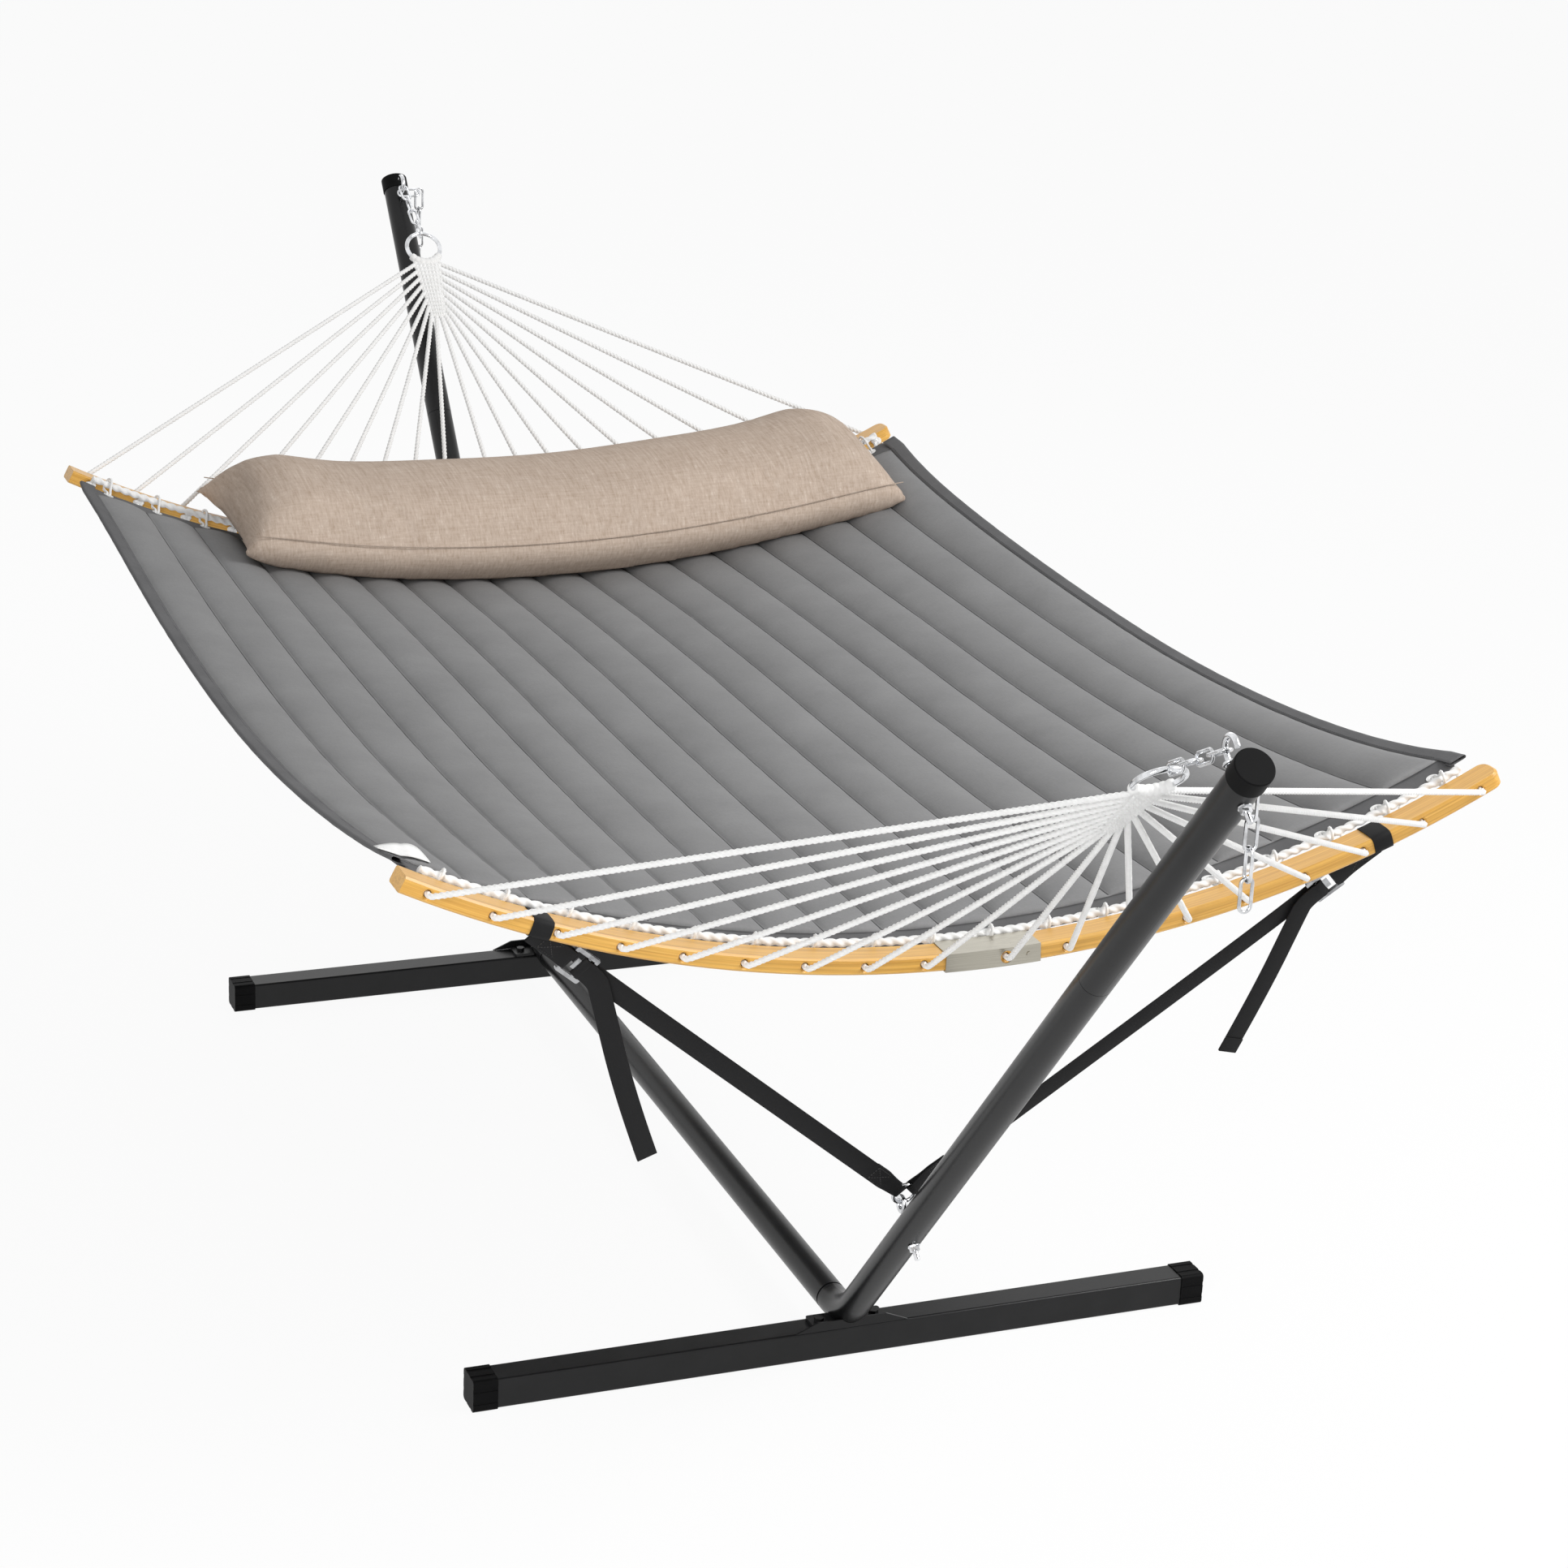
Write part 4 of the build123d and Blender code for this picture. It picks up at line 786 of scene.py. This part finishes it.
def pillow():
    mesh = frame["nodes"]["pillow"].data.copy()
    mesh.materials.clear()
    piece = bpy.data.objects.new("linen_pillow", mesh)
    scene.collection.objects.link(piece)
    work = bmesh.new()
    work.from_mesh(mesh)
    bmesh.ops.remove_doubles(work, verts=work.verts[:], dist=0.0002)
    work.to_mesh(mesh)
    work.free()
    remesh = piece.modifiers.new("remesh", "REMESH")
    remesh.mode = "VOXEL"
    remesh.voxel_size = 0.0082
    apply(piece)
    rest = [vertex.co.copy() for vertex in piece.data.vertices]
    for vertex in piece.data.vertices:
        vertex.co.y = PILLOW_Y + (vertex.co.y - PILLOW_Y) * 0.992
    cloth = piece.modifiers.new("cloth", "CLOTH")
    cloth.settings.quality = 4
    cloth.settings.mass = 0.25
    cloth.settings.tension_stiffness = 18
    cloth.settings.compression_stiffness = 18
    cloth.settings.shear_stiffness = 8
    cloth.settings.bending_stiffness = 0.6
    cloth.settings.use_pressure = True
    cloth.settings.uniform_pressure_force = 4.0
    cloth.settings.effector_weights.gravity = 0.0
    cloth.collision_settings.use_collision = False
    cloth.point_cache.frame_end = 18
    for step in range(1, 19):
        scene.frame_set(step)
    apply(piece)
    scene.frame_set(1)
    for vertex, was in zip(piece.data.vertices, rest):
        move = vertex.co - was
        if move.length > 0.010:
            vertex.co = was + move.normalized() * 0.010
        x, y = was.x, min(max(was.y, PILLOW_Y - PILLOW_HALF), PILLOW_Y + PILLOW_HALF)
        share = min(max((PILLOW_FRONT - x) / (PILLOW_FRONT - PILLOW_BACK), 0.0), 1.0)
        seam = seam_height(y, False) + (seam_height(y, True) - seam_height(y, False)) * share
        for back, seam_x, outward in ((False, PILLOW_FRONT, 1), (True, PILLOW_BACK, -1)):
            over = was.z - seam_height(y, back)
            along = abs(was.x - seam_x)
            if along < 0.10:
                ruck = noise.noise(Vector((y * 30, 4.0 * back, 0.6 if over > 0 else 3.0)))
                near = math.exp(-((abs(over) - 0.018) / 0.020) ** 2) * math.exp(-((along / 0.05) ** 2))
                swell = front_swell(over) * end_fullness(y) * math.exp(-((along / 0.07) ** 2))
                groove = math.exp(-((over / 0.006) ** 2)) * math.exp(-((along / 0.03) ** 2))
                vertex.co.x += outward * (swell + 0.0030 * ruck * near)
                vertex.co.x -= outward * 0.0026 * groove
        vertex.co.z = seam + (vertex.co.z - seam) * (0.76 + 0.24 * end_fullness(y))
        vertex.co.z += end_lift(y)
        vertex.co.y = longer(vertex.co.y)
        if x > -BED_HALF_SPAN:
            vertex.co.z = max(vertex.co.z, bed_height(x, vertex.co.y, 0.008))
    piece.data.materials.append(LINEN)
    piece.data.polygons.foreach_set("use_smooth", [True] * len(piece.data.polygons))
    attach(piece, "pillow")
    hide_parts("pillow")
    works = []
    for back, seam_x, outward in ((False, PILLOW_FRONT, 1), (True, PILLOW_BACK, -1)):
        route = []
        for share in SEAM_SHARES:
            y = PILLOW_Y + share * PILLOW_HALF
            x = seam_x + outward * (front_swell(0.0) * end_fullness(y) - 0.0022)
            route.append(Vector((x, longer(y), seam_height(y, back) + end_lift(y))))
        line = smooth_line(route)
        works.append(lay_along(strand(line_length(line), 0.0011, 0.008, 6), line))
    # The seam strand takes the darker linen copy, painted shade along the seam.
    gather("pillow_seams", works, LINEN_SEAM_PAINTED_SHADE, "pillow")


# Straps
def strap_point(distance, out=0.0):
    return ANCHOR + STRAP_UP * distance + STRAP_OUT * out


def web(route, across, fineness=12, closed=False, narrow=None):
    """A flat strap laid along the smooth line of a route, with its length in the UV map."""
    line = smooth_line(route, fineness, closed)
    length = line_length(line)
    work = bmesh.new()
    bmesh.ops.create_grid(work, x_segments=2, y_segments=max(4, round(length / 0.005)), size=0.5)
    for vertex in work.verts:
        vertex.co = (vertex.co.x * WEB_WIDTH, 0.0, (vertex.co.y + 0.5) * length)
    work.normal_update()
    bmesh.ops.solidify(work, geom=work.faces[:], thickness=WEB)
    depth = sum(vertex.co.y for vertex in work.verts) / len(work.verts)
    bmesh.ops.translate(work, vec=(0, -depth, 0), verts=work.verts[:])
    edges = [edge for edge in work.edges if edge.calc_face_angle(0.0) > 1.2]
    bmesh.ops.bevel(
        work, geom=edges, offset=0.0006, offset_type="OFFSET", segments=2, profile=0.5, affect="EDGES",
        material=-1,
    )
    layer = work.loops.layers.uv.new("strap")
    for face in work.faces:
        for corner in face.loops:
            corner[layer].uv = (corner.vert.co.x, corner.vert.co.z)
    if narrow:
        for vertex in work.verts:
            vertex.co.x *= narrow(vertex.co.z)
    return lay_along(work, line, across), line


def on_side(works, hand):
    """Shapes made for the left strap, mirrored for the right one."""
    for work in works:
        if hand > 0:
            bmesh.ops.scale(work, vec=(1, -1, 1), verts=work.verts[:])
    return works


def box_stitches(start, end, out):
    """Stitches round a box with a cross in it, on one face of the strap."""
    half = 0.0115
    places = []
    corners = [
        (start, -half), (end, -half), (end, half), (start, half), (start, -half), (end, half), (start, half),
        (end, -half),
    ]
    for (a, b), (c, d) in zip(corners[:-1], corners[1:]):
        count = max(2, round(math.hypot(c - a, d - b) / 0.0042))
        direction = STRAP_UP * (c - a) + STRAP_ACROSS * (d - b)
        for i in range(count):
            share = (i + 0.5) / count
            point = strap_point(a + (c - a) * share, out) + STRAP_ACROSS * (b + (d - b) * share)
            places.append((point, direction))
    return stitches(places, 0.0006, 0.0032)


TAILS = {
    "left": (
        (1.11222, -0.55480, 0.82992), (1.10614, -0.53257, 0.81071), (1.0985, -0.5239, 0.7865),
        (1.0450, -0.4660, 0.6060), (1.0040, -0.4160, 0.4880),
    ),
    "right": (
        (1.11222, 0.55480, 0.82992), (1.10614, 0.53257, 0.81071), (1.0985, 0.5272, 0.7865),
        (1.0570, 0.5030, 0.6560), (1.0235, 0.4744, 0.5496),
    ),
}


def straps():
    slope = math.asin(STRAP_Y / BAR_R)
    bar_y, bar_z = arc(BAR_MIDDLE["front"], STRAP_Y)
    bar = Vector((BAR_X, bar_y, bar_z))
    bar_up = Vector((0, -math.sin(slope), math.cos(slope)))
    bar_along = Vector((0, math.cos(slope), math.sin(slope)))
    wide, tall, corner = 0.0243, 0.0133, 0.004
    for side, hand in (("left", -1), ("right", 1)):
        # Span: its end folded round the anchor ring and sewn, then the taut run up to the roller
        shape = (
            (0.082, -0.0013), (0.040, -0.0020), (0.024, -0.0052), (0.0105, -0.0062), (0.0085, 0.0),
            (0.0105, 0.0062), (0.024, 0.0052), (0.040, 0.0020), (0.082, 0.0010),
            (ROLLER_AT - 0.036, -0.0012), (ROLLER_AT - 0.004, -0.0056),
        )
        bunched = lambda at: 0.66 + 0.34 * min(1.0, max(0.0, (abs(at - 0.075) - 0.012) / 0.035))
        work, _ = web([strap_point(a, b) for a, b in shape], STRAP_ACROSS, narrow=bunched)
        span = gather(f"{side}_strap_web", on_side([work], hand), WEBBING, None)
        start = ANCHOR
        far = strap_point(ROLLER_AT)
        far.y *= -hand
        low, high = start.lerp(far, 0.12), start.lerp(far, 0.96)
        tuple(low)
        tuple(high)
        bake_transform(span)
        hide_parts(f"{side}_strap_span")
        sewn = on_side([box_stitches(0.046, 0.078, 0.0024), box_stitches(0.046, 0.078, -0.0027)], hand)
        gather(f"{side}_anchor_stitches", sewn, STITCH, "stand")
        # Loop round the bar and its doubled neck down to the buckle
        outline = (
            (corner, -tall), (wide - corner, -tall), (wide, -tall + corner), (wide, tall - corner),
            (wide - corner, tall), (-wide + corner, tall), (-wide, tall - corner), (-wide, -tall + corner),
            (-wide + corner, -tall), (-corner, -tall),
        )
        route = [bar + Vector((1, 0, 0)) * a + bar_up * b for a, b in outline]
        wrap, _ = web(route, bar_along, 8, closed=True)
        shape = (
            (BAR_UNDERSIDE, -0.0013), (0.806, -0.0013), (0.789, -0.0030), (0.7745, -0.0058), (0.7690, 0.0),
            (0.7745, 0.0058), (0.789, 0.0030), (0.806, 0.0013), (BAR_UNDERSIDE, 0.0013),
        )
        neck, _ = web([strap_point(a, b) for a, b in shape], STRAP_ACROSS)
        piece = gather(f"{side}_strap_neck", on_side([wrap, neck], hand), WEBBING, "hammock")
        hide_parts(f"{side}_strap_loop")
        sewn = on_side([box_stitches(0.797, 0.828, 0.0025), box_stitches(0.797, 0.828, -0.0025)], hand)
        gather(f"{side}_neck_stitches", sewn, STITCH, "hammock")
        # Turn over the roller, then the free end hanging, its tip folded back and sewn
        shape = (
            (ROLLER_AT - 0.010, -0.0056), (ROLLER_AT + 0.0066, -0.0056), (ROLLER_AT + 0.0066, 0.0056),
            (ROLLER_AT - 0.005, 0.0052),
        )
        turn, _ = web([strap_point(a, b) for a, b in shape], STRAP_ACROSS)
        gather(f"{side}_strap_turn", on_side([turn], hand), WEBBING, "hammock")
        route = [Vector(point) for point in TAILS[side]]
        across = Vector((STRAP_ACROSS.x, -hand * STRAP_ACROSS.y, STRAP_ACROSS.z - 0.1))
        tail, line = web(route, across)
        run = (route[-1] - route[-2]).normalized()
        lift = run.cross(across).normalized() * WEB
        tip = route[-1] + lift
        hem, _ = web([tip - run * 0.026, tip - run * 0.013, tip], across)
        piece = gather(f"{side}_strap_end", [tail, hem], WEBBING, "hammock")
        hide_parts(f"{side}_strap_tail")
        tuple(line[0])
        line_length(line)
        [tuple(point) for point in line]


for end in SIDE:
    suspension(end)
    clew(end)
    lacing(end)
    end_band(end)
straps()
quilted_bed()
label()
pillow()


# Floor, light and camera
def seen(tree):
    """1 for what the camera sees, straight on, in metal or through glass; 0 for light on things."""
    path = node(tree, "ShaderNodeLightPath")
    mirrored = sums(tree, "MAXIMUM", path.outputs["Is Glossy Ray"], path.outputs["Is Transmission Ray"])
    return sums(tree, "MAXIMUM", path.outputs["Is Camera Ray"], mirrored)


floor_work = bmesh.new()
bmesh.ops.create_grid(floor_work, x_segments=1, y_segments=1, size=40.0)
floor_mesh = bpy.data.meshes.new("floor")
floor_work.to_mesh(floor_mesh)
floor_work.free()
floor = bpy.data.objects.new("floor", floor_mesh)
floor_material, floor_tree, floor_shader = new_material("floor")
floor_shader.inputs["Base Color"].default_value = (0.90, 0.90, 0.90, 1.0)
floor_shader.inputs["Roughness"].default_value = 0.9
floor_shader.inputs["Specular IOR Level"].default_value = 0.0
white = node(floor_tree, "ShaderNodeEmission", in_Strength=1.0)
mixed = node(floor_tree, "ShaderNodeMixShader")
floor_tree.links.new(sums(floor_tree, "MULTIPLY", seen(floor_tree), 0.93), mixed.inputs[0])
floor_tree.links.new(floor_shader.outputs["BSDF"], mixed.inputs[1])
floor_tree.links.new(white.outputs["Emission"], mixed.inputs[2])
floor_tree.links.new(mixed.outputs["Shader"], floor_tree.nodes["Material Output"].inputs["Surface"])
floor_mesh.materials.append(floor_material)
scene.collection.objects.link(floor)

world = bpy.data.worlds.new("studio")
scene.world = world
world.use_nodes = True
sky = world.node_tree
light = sky.nodes["Background"]
light.inputs["Color"].default_value = (1.0, 1.0, 1.0, 1.0)
level_of = node(sky, "ShaderNodeMapRange")
level_of.inputs["To Min"].default_value = 0.40
level_of.inputs["To Max"].default_value = 1.0
sky.links.new(seen(sky), level_of.inputs["Value"])
sky.links.new(level_of.outputs["Result"], light.inputs["Strength"])


def area_light(name, place, target, size, power):
    lamp = bpy.data.lights.new(name, "AREA")
    lamp.shape = "RECTANGLE"
    lamp.size, lamp.size_y = size
    lamp.energy = power
    made = bpy.data.objects.new(name, lamp)
    made.location = place
    made.rotation_euler = (Vector(target) - Vector(place)).to_track_quat("-Z", "Y").to_euler()
    scene.collection.objects.link(made)


area_light("key", (2.5, 3.4, 3.9), (0.6, 0, 0.6), (2.0, 2.0), 190)
area_light("fill", (4.3, -2.8, 2.7), (0.2, 0, 0.8), (0.9, 2.4), 92)
area_light("back", (-4.5, 1.0, 4.2), (0, 0, 0.8), (3.0, 3.0), 24)

yaw, pitch, roll = (math.radians(a) for a in (158.04, -19.62, 2.5))
forward = Vector((math.cos(pitch) * math.cos(yaw), math.cos(pitch) * math.sin(yaw), math.sin(pitch)))
level = forward.cross(Vector((0, 0, 1))).normalized()
upright = level.cross(forward)
right = level * math.cos(roll) + upright * math.sin(roll)
up = upright * math.cos(roll) - level * math.sin(roll)
camera_data = bpy.data.cameras.new("camera")
camera_data.sensor_width = 36.0
camera_data.lens = 82.76
camera_data.clip_end = 200.0
camera = bpy.data.objects.new("camera", camera_data)
turned = Matrix((right, up, -forward)).transposed().to_4x4()
camera.matrix_world = Matrix.Translation((5.283, -1.961, 2.668)) @ turned
scene.collection.objects.link(camera)
scene.camera = camera
scene.view_settings.view_transform = "Standard"
